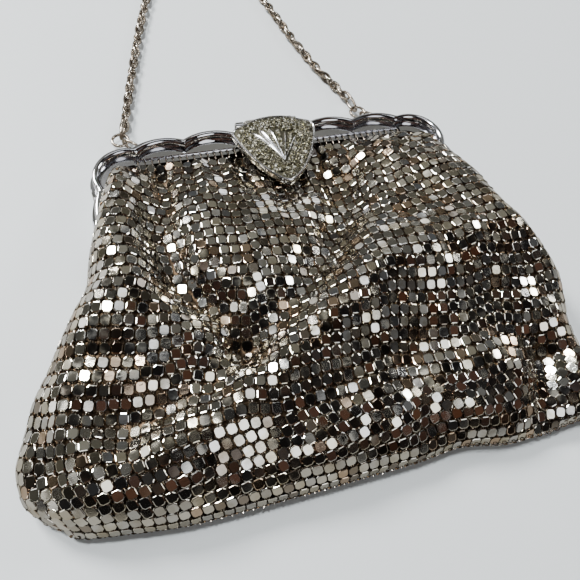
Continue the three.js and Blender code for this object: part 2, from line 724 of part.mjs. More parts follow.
function foldHeight(x, fromFrame) {
  return foldLines.reduce((sum, fold) => {
    const away = distanceToLine(fold.line, x, fromFrame) / (fold.reach * bagHalfWidth);
    return sum + fold.height * bagCrown * Math.exp(-away * away);
  }, 0);
}

// Half a width from the table: a share up to neckShare lies between the jaws' arms and follows them,
// and the rest follows the bag's own half width.
function sideReach(share) {
  if (share <= neckShare) return (armInner * share) / neckShare;
  return armInner + ((bagHalfWidth - armInner) * (share - neckShare)) / (1 - neckShare);
}

// The front of the bag, shrunk by the wall for its inner side. across runs from -1 at the left seam to
// 1 at the right one, and down from 0 at the frame to 1 at the bottom seam.
function bagFront(acrossShare, down, wall) {
  const left = sideReach(tableValue(bagSections, 'down', 'left', down)) - wall;
  const right = sideReach(tableValue(bagSections, 'down', 'right', down)) - wall;
  const middle = (right - left) / 2;
  const half = (right + left) / 2;
  const roll = tableValue(bagSections, 'down', 'roll', down) * sideRoll;
  const flat = half - roll;
  const run = Math.abs(acrossShare) * (flat + (Math.PI / 2) * roll);
  const turn = Math.max(run - flat, 0) / roll;
  const x = middle + Math.sign(acrossShare) * (Math.min(run, flat) + roll * Math.sin(turn));
  const up = tableValue(bottomEdge, 'across', 'up', acrossShare);
  const length = bagLength * (1 - up) - wall;
  const fromFrame = down * length;
  const toBottom = Math.max(length - fromFrame, 0);
  const bottomTurn = Math.max(1 - toBottom / bottomRoll, 0);
  const bottomFall = Math.sqrt(Math.max(1 - bottomTurn * bottomTurn, 0));
  const gather = gatherDepth * Math.exp(-fromFrame / (gatherPitch * 1.6))
    * Math.cos((2 * Math.PI * x) / gatherPitch) * Math.min(fromFrame / gatherPitch, 1);
  const crown = tableValue(bagSections, 'down', 'crown', down) * bagCrown;
  const settle = Math.min(fromFrame / (bagLength * 0.05), 1);
  const height = Math.max(crown + settle * foldHeight(x, fromFrame) + gather, seamHeight + 2.5) - wall;
  const z = seamHeight + (height - seamHeight) * Math.cos(turn) * bottomFall;
  return new THREE.Vector3(x, stripEdge - seatGap - fromFrame, z);
}

// The back of the bag lies on the surface. It has the front's outline and a low even wall.
function bagBack(acrossShare, down, wall) {
  const front = bagFront(acrossShare, down, wall);
  const roll = Math.min((1 - Math.abs(acrossShare)) / 0.08, (1 - down) / 0.06, 1);
  const fall = 1 - (1 - roll) ** 2;
  return new THREE.Vector3(front.x, front.y, seamHeight - (seamHeight - wall) * fall);
}

// The rows of the shell: every section of the table, with more between those that are far apart.
function rowPlaces() {
  const places = bagSections.slice(1).flatMap((row, i) => {
    const from = bagSections[i].down;
    const count = Math.ceil((row.down - from) / rowSpacing);
    return Array.from({ length: count }, (_, k) => from + ((row.down - from) * k) / count);
  });
  return [...places, 1 - 0.25 * rowSpacing, 1];
}

function bagShell(wall, columns) {
  return rowPlaces().map((down) => {
    const points = [];
    for (let i = 0; i < columns; i += 1) points.push(bagFront(-1 + (2 * i) / columns, down, wall));
    for (let i = 0; i < columns; i += 1) points.push(bagBack(1 - (2 * i) / columns, down, wall));
    return points;
  });
}

// The outer and the inner skin, joined round the mouth. At the bottom the front and the back of each
// skin meet in a seam, so the last ring is folded flat.
function meshBag() {
  const columns = bagColumns;
  const outer = bagShell(0, columns);
  const inner = bagShell(meshWall, columns);
  const rows = outer.length - 1;
  const around = 2 * columns;
  const points = [...outer.flat(), ...inner.flat()];
  const at = (skin, row, i) => (skin * (rows + 1) + row) * around + (i % around);
  const folded = (i) => (i <= columns ? i : around - i);
  const triangles = [];
  const quad = (a, b, c, d, flip) => {
    for (const [p, q, r] of [[a, b, c], [a, c, d]]) {
      if (p === q || q === r || p === r) continue;
      triangles.push(p, flip ? r : q, flip ? q : r);
    }
  };
  for (const skin of [0, 1]) {
    for (let row = 0; row < rows; row += 1) {
      for (let i = 0; i < around; i += 1) {
        const low = (k) => (row + 1 === rows ? at(skin, row + 1, folded(k % around)) : at(skin, row + 1, k));
        quad(at(skin, row, i), low(i), low(i + 1), at(skin, row, i + 1), skin === 1);
      }
    }
  }
  for (let i = 0; i < around; i += 1) quad(at(0, 0, i), at(0, 0, i + 1), at(1, 0, i + 1), at(1, 0, i), false);
  const geometry = new THREE.BufferGeometry();
  geometry.setAttribute('position', new THREE.Float32BufferAttribute(points.flatMap((p) => p.toArray()), 3));
  geometry.setIndex(triangles);
  return geometry.toNonIndexed();
}

// Materials

const chrome = new THREE.MeshStandardMaterial({ color: 0xc9ccd0, roughness: 0.08, metalness: 1 });
const antiqueSilver = new THREE.MeshStandardMaterial({ color: 0xa9a394, roughness: 0.3, metalness: 1 });
const crystal = new THREE.MeshStandardMaterial({ color: 0xd8d2b4, roughness: 0.08, metalness: 0.3 });
const meshSilver = new THREE.MeshStandardMaterial({ color: 0xb9b5aa, roughness: 0.2, metalness: 1 });

// Assembly

const purse = new THREE.Group();

function addPiece(name, geometry, material) {
  const mesh = new THREE.Mesh(geometry, material);
  mesh.name = name;
  mesh.geometry.computeVertexNormals();
  purse.add(mesh);
}

const chainEnds = {
  left: linkCentres(-1, chainRoute[0]),
  right: linkCentres(1, chainRoute[chainRoute.length - 1]),
};

addPiece('front_jaw', geometryOf(frontJaw()), chrome);
addPiece('back_jaw', geometryOf(backJaw()), chrome);
addPiece('rivet_left', geometryOf(rivet(-1)), antiqueSilver);
addPiece('rivet_right', geometryOf(rivet(1)), antiqueSilver);
addPiece('clasp', geometryOf(clasp()), crystal);
addPiece('clasp_pin', geometryOf(claspPin()), antiqueSilver);
addPiece('mesh_bag', meshBag(), meshSilver);
for (const [side, end] of Object.entries(chainEnds)) {
  addPiece(`link_${side}`, uprightLink(end.link, swing, linkLength), antiqueSilver);
  addPiece(`jump_ring_${side}`, flatRing(end.ring, end.away), antiqueSilver);
}
addPiece('handle_chain', geometryOf(handleChain([chainEnds.left, chainEnds.right])), antiqueSilver);

export default purse;
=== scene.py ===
import math

import bpy
import numpy as np
from mathutils import Matrix, Vector
from mathutils.geometry import tessellate_polygon


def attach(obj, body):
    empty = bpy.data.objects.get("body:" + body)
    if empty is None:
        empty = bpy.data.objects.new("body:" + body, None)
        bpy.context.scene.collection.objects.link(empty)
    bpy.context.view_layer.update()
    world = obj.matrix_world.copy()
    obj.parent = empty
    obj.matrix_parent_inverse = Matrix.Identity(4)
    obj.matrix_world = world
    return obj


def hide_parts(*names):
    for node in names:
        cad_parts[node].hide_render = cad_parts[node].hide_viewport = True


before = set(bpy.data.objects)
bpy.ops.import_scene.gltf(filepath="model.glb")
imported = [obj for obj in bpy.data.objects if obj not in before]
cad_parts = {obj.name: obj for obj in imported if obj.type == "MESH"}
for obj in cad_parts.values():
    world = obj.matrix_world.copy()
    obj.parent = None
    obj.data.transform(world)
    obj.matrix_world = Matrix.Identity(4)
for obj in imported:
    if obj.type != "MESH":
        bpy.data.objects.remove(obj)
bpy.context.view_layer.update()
rng = np.random.default_rng(11)


# Meshes. Sizes are in millimetres until a piece is made, and metres in Blender.

class Shape:  # collects points, blocks of faces with equal corner counts, and values for each point

    def __init__(self):
        self.points, self.faces, self.slots, self.values, self.count = [], [], [], {}, 0

    def add(self, points, blocks, slot=0, **values):
        points = np.asarray(points, float).reshape(-1, 3)
        self.points.append(points)
        for block in blocks:
            self.faces.extend((np.asarray(block) + self.count).tolist())
            self.slots.extend([slot] * len(block))
        for name, value in values.items():
            self.values.setdefault(name, []).append((self.count, np.broadcast_to(value, len(points))))
        self.count += len(points)

    def addCopies(self, points, blocks, slot=0, **values):  # points: copies x points x 3
        size = points.shape[1]
        starts = np.arange(len(points))[:, None, None] * size
        spread = [(np.asarray(block)[None] + starts).reshape(-1, np.shape(block)[-1]) for block in blocks]
        self.add(points, spread, slot, **{name: np.repeat(value, size) for name, value in values.items()})


def makePiece(name, shape, materials, body, nodes, smooth=None, flatSlot=None):
    # the collected shape as one object in metres, which rides on a body and stands for the named nodes
    points = np.concatenate(shape.points) * 0.001
    mesh = bpy.data.meshes.new(name)
    mesh.from_pydata(points.tolist(), [], shape.faces)
    mesh.polygons.foreach_set("material_index", np.array(shape.slots, np.int32))
    for label, parts in shape.values.items():
        full = np.zeros(len(points), np.float32)
        for start, value in parts:
            full[start:start + len(value)] = value
        mesh.attributes.new(label, "FLOAT", "POINT").data.foreach_set("value", full)
    for material in materials:
        mesh.materials.append(material)
    piece = bpy.data.objects.new(name, mesh)
    bpy.context.scene.collection.objects.link(piece)
    if smooth:  # faces that meet at less than this angle are shaded as one surface
        mesh.shade_smooth()
        mesh.set_sharp_from_angle(angle=math.radians(smooth))
    if flatSlot is not None:  # cut stones keep their facets
        mesh.polygons.foreach_set("use_smooth", np.array(shape.slots) != flatSlot)
    mesh.update()
    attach(piece, body)
    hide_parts(*nodes)
    lowest = round(points[:, 2].min() * 1000, 2)
    print(name, len(points), "points", len(shape.faces), "faces, lowest", lowest, "mm")
    return piece


def unit(v):
    # each vector divided by its length
    return v / np.maximum(np.linalg.norm(v, axis=-1, keepdims=True), 1e-9)


def levelled(loop, z):
    # x, y points lifted to one level
    return np.column_stack([loop, np.full(len(loop), z)])


def gridFaces(rows, columns, wrapRows=False, wrapColumns=False, flip=False):
    # quads between neighbours of a rows x columns array of points
    i = np.arange(rows if wrapRows else rows - 1)[:, None]
    j = np.arange(columns if wrapColumns else columns - 1)[None, :]
    a = i * columns + j
    b = i * columns + (j + 1) % columns
    c = ((i + 1) % rows) * columns + (j + 1) % columns
    d = ((i + 1) % rows) * columns + j
    return np.stack([a, d, c, b] if flip else [a, b, c, d], -1).reshape(-1, 4)


def addGrid(shape, points, slot=0, flip=False, wrapRows=False, wrapColumns=False, **values):
    # a surface through rows x columns of points
    rows, columns = points.shape[:2]
    shape.add(points, [gridFaces(rows, columns, wrapRows, wrapColumns, flip)], slot, **values)


def addOvals(shape, centre, reachA, reachB, wire, steps=16, sides=8, slot=0, **values):
    # wire bent to an oval: centre + reachA cos(turn) + reachB sin(turn), with a round section
    turn = (np.arange(steps) * 2 * math.pi / steps)[None, :, None, None]
    centre, reachA, reachB = (np.asarray(v, float).reshape(-1, 1, 1, 3) for v in (centre, reachA, reachB))
    sectionTurn = (np.arange(sides) * 2 * math.pi / sides)[None, None, :, None]
    normal = unit(np.cross(reachA, reachB))
    tangent = unit(reachB * np.cos(turn) - reachA * np.sin(turn))
    outward = np.cross(tangent, normal)
    points = centre + reachA * np.cos(turn) + reachB * np.sin(turn) \
        + wire / 2 * (outward * np.cos(sectionTurn) + normal * np.sin(sectionTurn))
    faces = gridFaces(steps, sides, True, True, flip=True)
    shape.addCopies(points.reshape(len(points), -1, 3), [faces], slot, **values)


def addTubes(shape, paths, radius, across, sides=8, slot=0, **values):
    # a round wire along each path (copies x steps x 3): path + radius (first cos(turn) + second sin(turn))
    # across is roughly a sideways direction of the path
    paths = np.asarray(paths, float)
    tangent = unit(np.gradient(paths, axis=1))
    second = unit(np.cross(tangent, np.asarray(across, float)))
    first = np.cross(second, tangent)
    turn = (np.arange(sides) * 2 * math.pi / sides)[:, None]
    radius = np.broadcast_to(radius, paths.shape[:2])[:, :, None, None]
    section = first[:, :, None] * np.cos(turn) + second[:, :, None] * np.sin(turn)
    points = paths[:, :, None] + radius * section
    count = paths.shape[1]
    faces = [gridFaces(count, sides, wrapColumns=True), *endFaces(count, sides, flip=True)]
    shape.addCopies(points.reshape(len(points), -1, 3), faces, slot, **values)


def addPlate(shape, loops, z, slot=0, down=False):
    # a flat face at one level inside the first loop (n x 2 points) and outside the other ones
    points = np.concatenate([levelled(loop, z) for loop in loops])
    polygons = [[Vector((x, y, 0)) for x, y in loop] for loop in loops]
    triangles = np.array(tessellate_polygon(polygons))
    a, b, c = (points[triangles[:, k], :2] for k in range(3))
    turned = (b[:, 0] - a[:, 0]) * (c[:, 1] - a[:, 1]) - (b[:, 1] - a[:, 1]) * (c[:, 0] - a[:, 0])
    wrong = (turned < 0) != down
    triangles[wrong] = triangles[wrong][:, ::-1]
    shape.add(points, [triangles[np.abs(turned) > 1e-9]], slot)


def endFaces(rows, columns, flip=False):
    # the two lids that close a tube of rows x columns points
    first, last = np.arange(columns)[None, ::-1], np.arange(columns)[None, :] + (rows - 1) * columns
    return [first[:, ::-1], last[:, ::-1]] if flip else [first, last]


def addBarX(shape, radius, x0, x1, y, z, bevel=0.15, sides=24, slot=0):
    # a round bar along X with bevelled ends
    x = np.array([x0, x0 + bevel, x1 - bevel, x1])
    reach = np.array([radius - bevel, radius, radius, radius - bevel])
    turn = np.arange(sides) * 2 * math.pi / sides
    points = np.stack([np.broadcast_to(x[:, None], (4, sides)), y + reach[:, None] * np.cos(turn),
                       z + reach[:, None] * np.sin(turn)], -1)
    shape.add(points, [gridFaces(4, sides, wrapColumns=True), *endFaces(4, sides)], slot)


def addBlock(shape, low, high, bevel=0.2, slot=0):
    # a block with bevelled edges: three nested rings round Z and two lids
    (x0, y0, z0), (x1, y1, z1) = low, high
    rings = []
    for inset, z in ((bevel, z0), (0, z0 + bevel), (0, z1 - bevel), (bevel, z1)):
        rings.append([(x0 + inset, y0 + inset, z), (x1 - inset, y0 + inset, z),
                      (x1 - inset, y1 - inset, z), (x0 + inset, y1 - inset, z)])
    shape.add(np.array(rings), [gridFaces(4, 4, wrapColumns=True), [[3, 2, 1, 0]], [[12, 13, 14, 15]]], slot)


def curveThrough(places, values):
    # a cubic through the points that never overshoots them: each slope is the harmonic mean of its neighbours
    places, values = np.array(places, float), np.array(values, float)
    rise = np.diff(values) / np.diff(places)
    slopes = np.zeros(len(places))
    same = rise[:-1] * rise[1:] > 0
    both = np.where(same, rise[:-1] + rise[1:], 1)
    slopes[1:-1] = np.where(same, 2 * rise[:-1] * rise[1:] / both, 0)

    def curve(at):
        at = np.clip(at, places[0], places[-1])
        i = np.clip(np.searchsorted(places, at, side="right") - 1, 0, len(places) - 2)
        span = places[i + 1] - places[i]
        t = (at - places[i]) / span
        ease = t * t * (3 - 2 * t)
        bend = span * t * (1 - t) * (slopes[i] * (1 - t) - slopes[i + 1] * t)
        return values[i] + (values[i + 1] - values[i]) * ease + bend

    return curve


def smoothPath(points, step):
    # a centripetal Catmull-Rom curve through the points, at even lengths
    points = np.array(points, float)
    ends = np.concatenate([[2 * points[0] - points[1]], points, [2 * points[-1] - points[-2]]])
    fine = []
    for p0, p1, p2, p3 in zip(ends[:-3], ends[1:-2], ends[2:-1], ends[3:]):
        k1, k2, k3 = (math.sqrt(np.linalg.norm(b - a)) for a, b in ((p0, p1), (p1, p2), (p2, p3)))
        m1 = (p1 - p0) / k1 - (p2 - p0) / (k1 + k2) + (p2 - p1) / k2
        m2 = (p2 - p1) / k2 - (p3 - p1) / (k2 + k3) + (p3 - p2) / k3
        t = np.linspace(0, 1, 24, endpoint=False)[:, None]
        fine.append(p1 * (2 * t ** 3 - 3 * t ** 2 + 1) + p2 * (3 * t ** 2 - 2 * t ** 3)
                    + k2 * (m1 * (t ** 3 - 2 * t ** 2 + t) + m2 * (t ** 3 - t ** 2)))
    fine = np.concatenate([*fine, points[-1:]])
    length = np.concatenate([[0], np.cumsum(np.linalg.norm(np.diff(fine, axis=0), axis=1))])
    wanted = np.linspace(0, length[-1], int(round(length[-1] / step)) + 1)
    return np.stack([np.interp(wanted, length, fine[:, k]) for k in range(fine.shape[1])], 1), length[-1]


# Materials: every metal shares one group for its wear, which reads the object's own coordinates

def newMaterial(name):
    material = bpy.data.materials.new(name)
    material.use_nodes = True
    tree = material.node_tree
    return material, tree.nodes, tree.links, tree.nodes["Principled BSDF"]


def buildWearGroup():
    # outputs: Cloud, a soft 0-1 mask of dulled places; Scratch, thin short lines; Height, their relief
    group = bpy.data.node_groups.new("metalWear", "ShaderNodeTree")
    for name, default in (("Cloud Scale", 60.0), ("Scratch Scale", 300.0)):
        socket = group.interface.new_socket(name, in_out="INPUT", socket_type="NodeSocketFloat")
        socket.default_value = default
    for name in ("Cloud", "Scratch", "Height"):
        group.interface.new_socket(name, in_out="OUTPUT", socket_type="NodeSocketFloat")
    nodes, links = group.nodes, group.links
    entry, leave = nodes.new("NodeGroupInput"), nodes.new("NodeGroupOutput")
    place = nodes.new("ShaderNodeTexCoord")
    cloud = nodes.new("ShaderNodeTexNoise")
    cloud.inputs["Detail"].default_value = 4
    links.new(place.outputs["Object"], cloud.inputs["Vector"])
    links.new(entry.outputs["Cloud Scale"], cloud.inputs["Scale"])
    ramp = nodes.new("ShaderNodeMapRange")
    ramp.interpolation_type = "SMOOTHSTEP"
    ramp.inputs["From Min"].default_value, ramp.inputs["From Max"].default_value = 0.42, 0.68
    links.new(cloud.outputs["Fac"], ramp.inputs["Value"])
    stretch = nodes.new("ShaderNodeMapping")
    stretch.inputs["Rotation"].default_value = (0.3, 0.5, 0.8)
    stretch.inputs["Scale"].default_value = (1, 14, 6)
    links.new(place.outputs["Object"], stretch.inputs["Vector"])
    line = nodes.new("ShaderNodeTexNoise")
    line.inputs["Detail"].default_value = 2
    links.new(stretch.outputs["Vector"], line.inputs["Vector"])
    links.new(entry.outputs["Scratch Scale"], line.inputs["Scale"])
    thin = nodes.new("ShaderNodeMapRange")
    thin.inputs["From Min"].default_value, thin.inputs["From Max"].default_value = 0.62, 0.75
    links.new(line.outputs["Fac"], thin.inputs["Value"])
    height = nodes.new("ShaderNodeMath")
    height.operation = "MULTIPLY_ADD"
    height.inputs[1].default_value = -0.5
    links.new(thin.outputs["Result"], height.inputs[0])
    links.new(cloud.outputs["Fac"], height.inputs[2])
    for name, out in (("Cloud", ramp.outputs["Result"]), ("Scratch", thin.outputs["Result"]),
                      ("Height", height.outputs["Value"])):
        links.new(out, leave.inputs[name])
    return group


wearGroup = buildWearGroup()


def metal(name, bright, dull, roughness, dullRoughness, bump=0.15, cloudScale=60, scratchScale=300,
          toneAndReflectionColors=None):
    # bright and dull mix by the cloud mask; toneAndReflectionColors, random tints of which some are painted
    # reflection, are picked by each small piece's own tone
    material, nodes, links, shader = newMaterial(name)
    shader.inputs["Metallic"].default_value = 1
    wear = nodes.new("ShaderNodeGroup")
    wear.node_tree = wearGroup
    wear.inputs["Cloud Scale"].default_value = cloudScale
    wear.inputs["Scratch Scale"].default_value = scratchScale
    mix = nodes.new("ShaderNodeMix")
    mix.data_type = "RGBA"
    mix.inputs["A"].default_value, mix.inputs["B"].default_value = (*bright, 1), (*dull, 1)
    links.new(wear.outputs["Cloud"], mix.inputs["Factor"])
    color = mix.outputs["Result"]
    if toneAndReflectionColors:
        tone = nodes.new("ShaderNodeAttribute")
        tone.attribute_name = "tone"
        ramp = nodes.new("ShaderNodeValToRGB")
        ramp.color_ramp.interpolation = "CONSTANT"
        for k, (place, shade) in enumerate(toneAndReflectionColors):
            stop = ramp.color_ramp.elements[k] if k < 2 else ramp.color_ramp.elements.new(place)
            stop.position, stop.color = place, (*shade, 1)
        links.new(tone.outputs["Fac"], ramp.inputs["Fac"])
        tint = nodes.new("ShaderNodeMix")
        tint.data_type, tint.blend_type = "RGBA", "MULTIPLY"
        tint.inputs["Factor"].default_value = 1
        links.new(color, tint.inputs["A"])
        links.new(ramp.outputs["Color"], tint.inputs["B"])
        color = tint.outputs["Result"]
    links.new(color, shader.inputs["Base Color"])
    rough = nodes.new("ShaderNodeMapRange")
    rough.inputs["To Min"].default_value, rough.inputs["To Max"].default_value = roughness, dullRoughness
    links.new(wear.outputs["Cloud"], rough.inputs["Value"])
    links.new(rough.outputs["Result"], shader.inputs["Roughness"])
    relief = nodes.new("ShaderNodeBump")
    relief.inputs["Strength"].default_value = bump
    relief.inputs["Distance"].default_value = 0.0002
    links.new(wear.outputs["Height"], relief.inputs["Height"])
    links.new(relief.outputs["Normal"], shader.inputs["Normal"])
    return material


chrome = metal("frameChrome", bright=(0.78, 0.78, 0.8), dull=(0.62, 0.62, 0.65),
               roughness=0.04, dullRoughness=0.14, bump=0.05)
brownMetal = metal("chainMetal", bright=(0.5, 0.445, 0.38), dull=(0.26, 0.21, 0.16),
                   roughness=0.16, dullRoughness=0.34, bump=0.3, cloudScale=400, scratchScale=900)
claspMetal = metal("claspMetal", bright=(0.74, 0.72, 0.66), dull=(0.45, 0.42, 0.33),
                   roughness=0.1, dullRoughness=0.3, bump=0.2, cloudScale=300, scratchScale=700)
wireMetal = metal("wireMetal", bright=(0.3, 0.26, 0.21), dull=(0.12, 0.1, 0.08),
                  roughness=0.2, dullRoughness=0.4, bump=0.2, cloudScale=400)
# painted shade: near-black metal for the bed between the clasp's stones, as the shade that falls between them
shadedBedMetal = metal("shadedBedMetal", bright=(0.16, 0.15, 0.11), dull=(0.05, 0.045, 0.035),
                 roughness=0.3, dullRoughness=0.5, bump=0.3, cloudScale=500, scratchScale=900)
ribMetal = metal("ribMetal", bright=(0.93, 0.93, 0.95), dull=(0.8, 0.8, 0.82),
                 roughness=0.16, dullRoughness=0.26, bump=0.05, cloudScale=200)
# painted shade: near-black metal for the rings and the sheet under the tiles, which lie in the tiles' shade
shadedLinkMetal = metal("shadedLinkMetal", bright=(0.075, 0.05, 0.03), dull=(0.02, 0.014, 0.01),
                  roughness=0.3, dullRoughness=0.5, bump=0.3, cloudScale=500)
# tones of the tiles, which vary at random: 30% white, 22% bluish, 22% yellowish, 12% grey, 8% copper and 6%
# dark; the copper and dark tones are painted reflection of copper and dark parts of the room
tileMetal = metal("tileMetal", bright=(0.88, 0.86, 0.8), dull=(0.72, 0.68, 0.58),
                  roughness=0.07, dullRoughness=0.17, bump=0.03, cloudScale=260, scratchScale=400,
                  toneAndReflectionColors=[(0, (0.95, 0.94, 0.91)), (0.3, (0.8, 0.81, 0.84)), (0.52, (0.84, 0.8, 0.71)),
                              (0.74, (0.66, 0.65, 0.64)), (0.86, (0.78, 0.62, 0.5)),
                              (0.94, (0.4, 0.36, 0.33))])

# the stones' tints run from dark to bright: painted shade and painted glints on their facets
glass = {
    "glintAndShadeTints": [(0, (0.05, 0.045, 0.025)), (0.42, (0.3, 0.28, 0.17)), (0.7, (1, 0.97, 0.82))],
    "Metallic": 0.85, "Roughness": 0.06, "Coat Weight": 0.4, "Coat Roughness": 0.02,
}


def buildStoneGlass():
    # champagne glass over foil: a metallic body with a clear coat, coloured by each point's own random tone
    # from dark to bright, as painted glints and painted shade on its facets
    material, nodes, links, shader = newMaterial("stoneGlass")
    tint = nodes.new("ShaderNodeValToRGB")
    for place, shade in glass["glintAndShadeTints"]:
        stop = tint.color_ramp.elements.new(place)
        stop.color = (*shade, 1)
    tint.color_ramp.elements.remove(tint.color_ramp.elements[0])
    tone = nodes.new("ShaderNodeAttribute")
    tone.attribute_name = "tone"
    links.new(tone.outputs["Fac"], tint.inputs["Fac"])
    links.new(tint.outputs["Color"], shader.inputs["Base Color"])
    for socket in ("Metallic", "Roughness", "Coat Weight", "Coat Roughness"):
        shader.inputs[socket].default_value = glass[socket]
    return material


stoneGlass = buildStoneGlass()

for nodeName in ("clasp_pin", "rivet_left", "rivet_right"):
    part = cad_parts[nodeName]
    part.data.materials.clear()
    part.data.materials.append(brownMetal)


# The mesh bag: a surface under the tiles, as in the source, and a dark sheet of painted shade just under the
# tiles

bag = {
    "top": -1.7, "length": 97.8, "halfWidth": 77, "crown": 16, "seam": 3, "sideRoll": 10, "bottomRoll": 8,
    "gatherPitch": 7.6, "gatherDepth": 1.4,
    "gatherFade": 1.6, "settle": 0.05, "leastHeight": 2.5,
    "relief": 0.27, "waves": 26, "waveLength": (9, 17), "waveDown": 0.55, "tightness": 0.3,
    "backLevel": 0.75, "backRipple": 0.16, "backSink": 0.15, "backShift": 40, "backRoll": (0.07, 0.06),
    "backStart": 0.02, "backWide": 0.36, "firstRow": 2.1,
    "rows": 36, "columns": 60, "topColumns": 36, "widening": 0.75,  # widening: pairs of columns a row
    "tile": 2.6, "tileCorner": 0.2, "fillAcross": 0.9, "fillDown": 0.9, "tileTilt": 0.028, "backTilt": 0.02,
    "tileEdge": [(0.82, 0.0), (0.94, -0.05), (1.0, -0.17), (0.98, -0.42)],  # reach and level of each ring
    "ring": 0.62, "ringWire": 0.3, "ringDrop": 0.42, "frontRing": (7, 4), "backRing": (6, 3),
    "bridge": (0.3, 0.55), "bridgeWire": 0.24, "bridgeDrop": 0.3,
    "shadeSheetDrop": 0.72, "shadeSheetSteps": 121, "lowest": 0.12,
}

# down, left, right, crown and roll, each as a share
sections = np.array([
    [0, 0.515, 0.515, 0.48, 0.3], [0.025, 0.575, 0.575, 0.53, 0.3], [0.06, 0.628, 0.625, 0.62, 0.3],
    [0.15, 0.664, 0.66, 0.8, 0.35], [0.25, 0.7, 0.7, 0.92, 0.5], [0.33, 0.735, 0.73, 0.97, 0.8],
    [0.42, 0.765, 0.768, 1, 1], [0.5, 0.825, 0.802, 1, 1], [0.62, 0.9, 0.845, 0.96, 1],
    [0.7, 0.95, 0.825, 0.92, 1], [0.77, 0.978, 0.802, 0.86, 1], [0.84, 1, 0.8, 0.78, 0.9],
    [0.9, 0.99, 0.9, 0.7, 0.8], [0.95, 0.945, 0.96, 0.64, 0.7], [1, 0.874, 0.92, 0.6, 0.6],
])
leftShare, rightShare, crownShare, rollShare = (
    curveThrough(sections[:, 0], sections[:, k]) for k in (1, 2, 3, 4))
bottomUp = curveThrough([-1, -0.84, -0.6, 0.1, 0.26, 0.46, 0.7, 0.9, 1],
                        [0.035, 0.018, 0, 0.008, 0.018, -0.002, 0.008, 0.02, 0.04])
seamLevel = curveThrough([0, 0.06, 0.24, 0.31, 0.4], [6.8, 9.4, 9.4, 7, 3])  # lies on the arms, then drops

# each fold: height as a share of the crown, reach of the half width, and its line in shares of
# the half width and the length
folds = [
    (0.34, 0.15, [[-0.74, 0.87], [-0.39, 0.785], [-0.12, 0.64], [0.22, 0.52], [0.64, 0.47]]),
    (-0.34, 0.085, [[-0.66, 0.79], [-0.4, 0.72], [-0.18, 0.61], [0.03, 0.44], [0.17, 0.28], [0.19, 0.16]]),
    (-0.36, 0.075, [[-0.46, 0.08], [-0.5, 0.29], [-0.47, 0.46], [-0.35, 0.55], [-0.32, 0.64]]),
    (0.24, 0.13, [[-0.57, 0.1], [-0.62, 0.3], [-0.66, 0.5]]),
    (0.16, 0.12, [[0.46, 0.1], [0.6, 0.3]]),
    (-0.26, 0.075, [[0.62, 0.83], [0.58, 0.92], [0.55, 1]]),
    (-0.14, 0.06, [[-0.91, 0.74], [-0.91, 0.86], [-0.88, 1]]),
    (-0.16, 0.06, [[-0.73, 0.76], [-0.74, 0.94]]),
    (-0.1, 0.07, [[0.2, 0.78], [0.16, 0.92]]),
    (0.17, 0.1, [[-0.2, 0.92], [0.05, 0.87], [0.42, 0.84]]),
    (-0.31, 0.2, [[0, 0.03], [0, 0.17]]),
]


def foldHeight(x, fromFrame):
    # the sum of height * exp(-(distance from the fold's line / reach) squared)
    total = np.zeros(np.broadcast(x, fromFrame).shape)
    for height, reach, line in folds:
        line = np.array(line) * (bag["halfWidth"], bag["length"])
        away = np.full(total.shape, np.inf)
        for (ax, ay), (bx, by) in zip(line[:-1], line[1:]):
            dx, dy = bx - ax, by - ay
            t = np.clip(((x - ax) * dx + (fromFrame - ay) * dy) / (dx * dx + dy * dy), 0, 1)
            away = np.minimum(away, np.hypot(x - ax - t * dx, fromFrame - ay - t * dy))
        total += height * bag["crown"] * np.exp(-(away / (reach * bag["halfWidth"])) ** 2)
    return total


# gentle waves of many directions, each (across, down, phase), for the unevenness of slack mesh
waveCount = bag["waves"]
waves = np.stack([rng.normal(0, 1, waveCount), rng.normal(0, bag["waveDown"], waveCount),
                  rng.uniform(0, 6.28, waveCount)], 1)
waveRate = 2 * math.pi / rng.uniform(*bag["waveLength"], waveCount)
waves[:, :2] *= (waveRate / np.hypot(waves[:, 0], waves[:, 1]))[:, None]


def relief(x, y):
    # the sum of all waves, about 1 high
    return sum(np.sin(kx * x + ky * y + phase) for kx, ky, phase in waves) / math.sqrt(len(waves) / 2)


def bagFront(across, down):
    # across runs from -1 to 1 between the side seams at even lengths, down from 0 at the frame to 1 below:
    # a flat stretch with a round roll at each side, as high as crown, folds, gathers and waves together
    left, right = leftShare(down) * bag["halfWidth"], rightShare(down) * bag["halfWidth"]
    middle, half = (right - left) / 2, (right + left) / 2
    roll = rollShare(down) * bag["sideRoll"]
    flat = half - roll
    run = np.abs(across) * (flat + math.pi / 2 * roll)
    turn = np.maximum(run - flat, 0) / roll
    x = middle + np.sign(across) * (np.minimum(run, flat) + roll * np.sin(turn))
    length = bag["length"] * (1 - bottomUp(across))
    fromFrame = down * length
    bottomTurn = np.clip(1 - (length - fromFrame) / bag["bottomRoll"], 0, 1)
    bottomFall = np.sqrt(np.clip(1 - bottomTurn ** 2, 0, 1))
    gather = bag["gatherDepth"] * np.exp(-fromFrame / (bag["gatherPitch"] * bag["gatherFade"])) \
        * np.cos(2 * math.pi * x / bag["gatherPitch"]) * np.minimum(fromFrame / bag["gatherPitch"], 1)
    settle = np.minimum(fromFrame / (bag["length"] * bag["settle"]), 1)
    height = crownShare(down) * bag["crown"] + settle * foldHeight(x, fromFrame) + gather
    slack = bag["relief"] * settle * np.clip(bag["tightness"] + 2 * down, 0, 1)  # tighter by the frame
    height = np.maximum(height, bag["seam"] + bag["leastHeight"]) + slack * relief(x, fromFrame)
    seam = seamLevel(down)
    z = seam + (height - seam) * np.cos(turn) * bottomFall
    return np.stack([x, bag["top"] - fromFrame, z], -1)


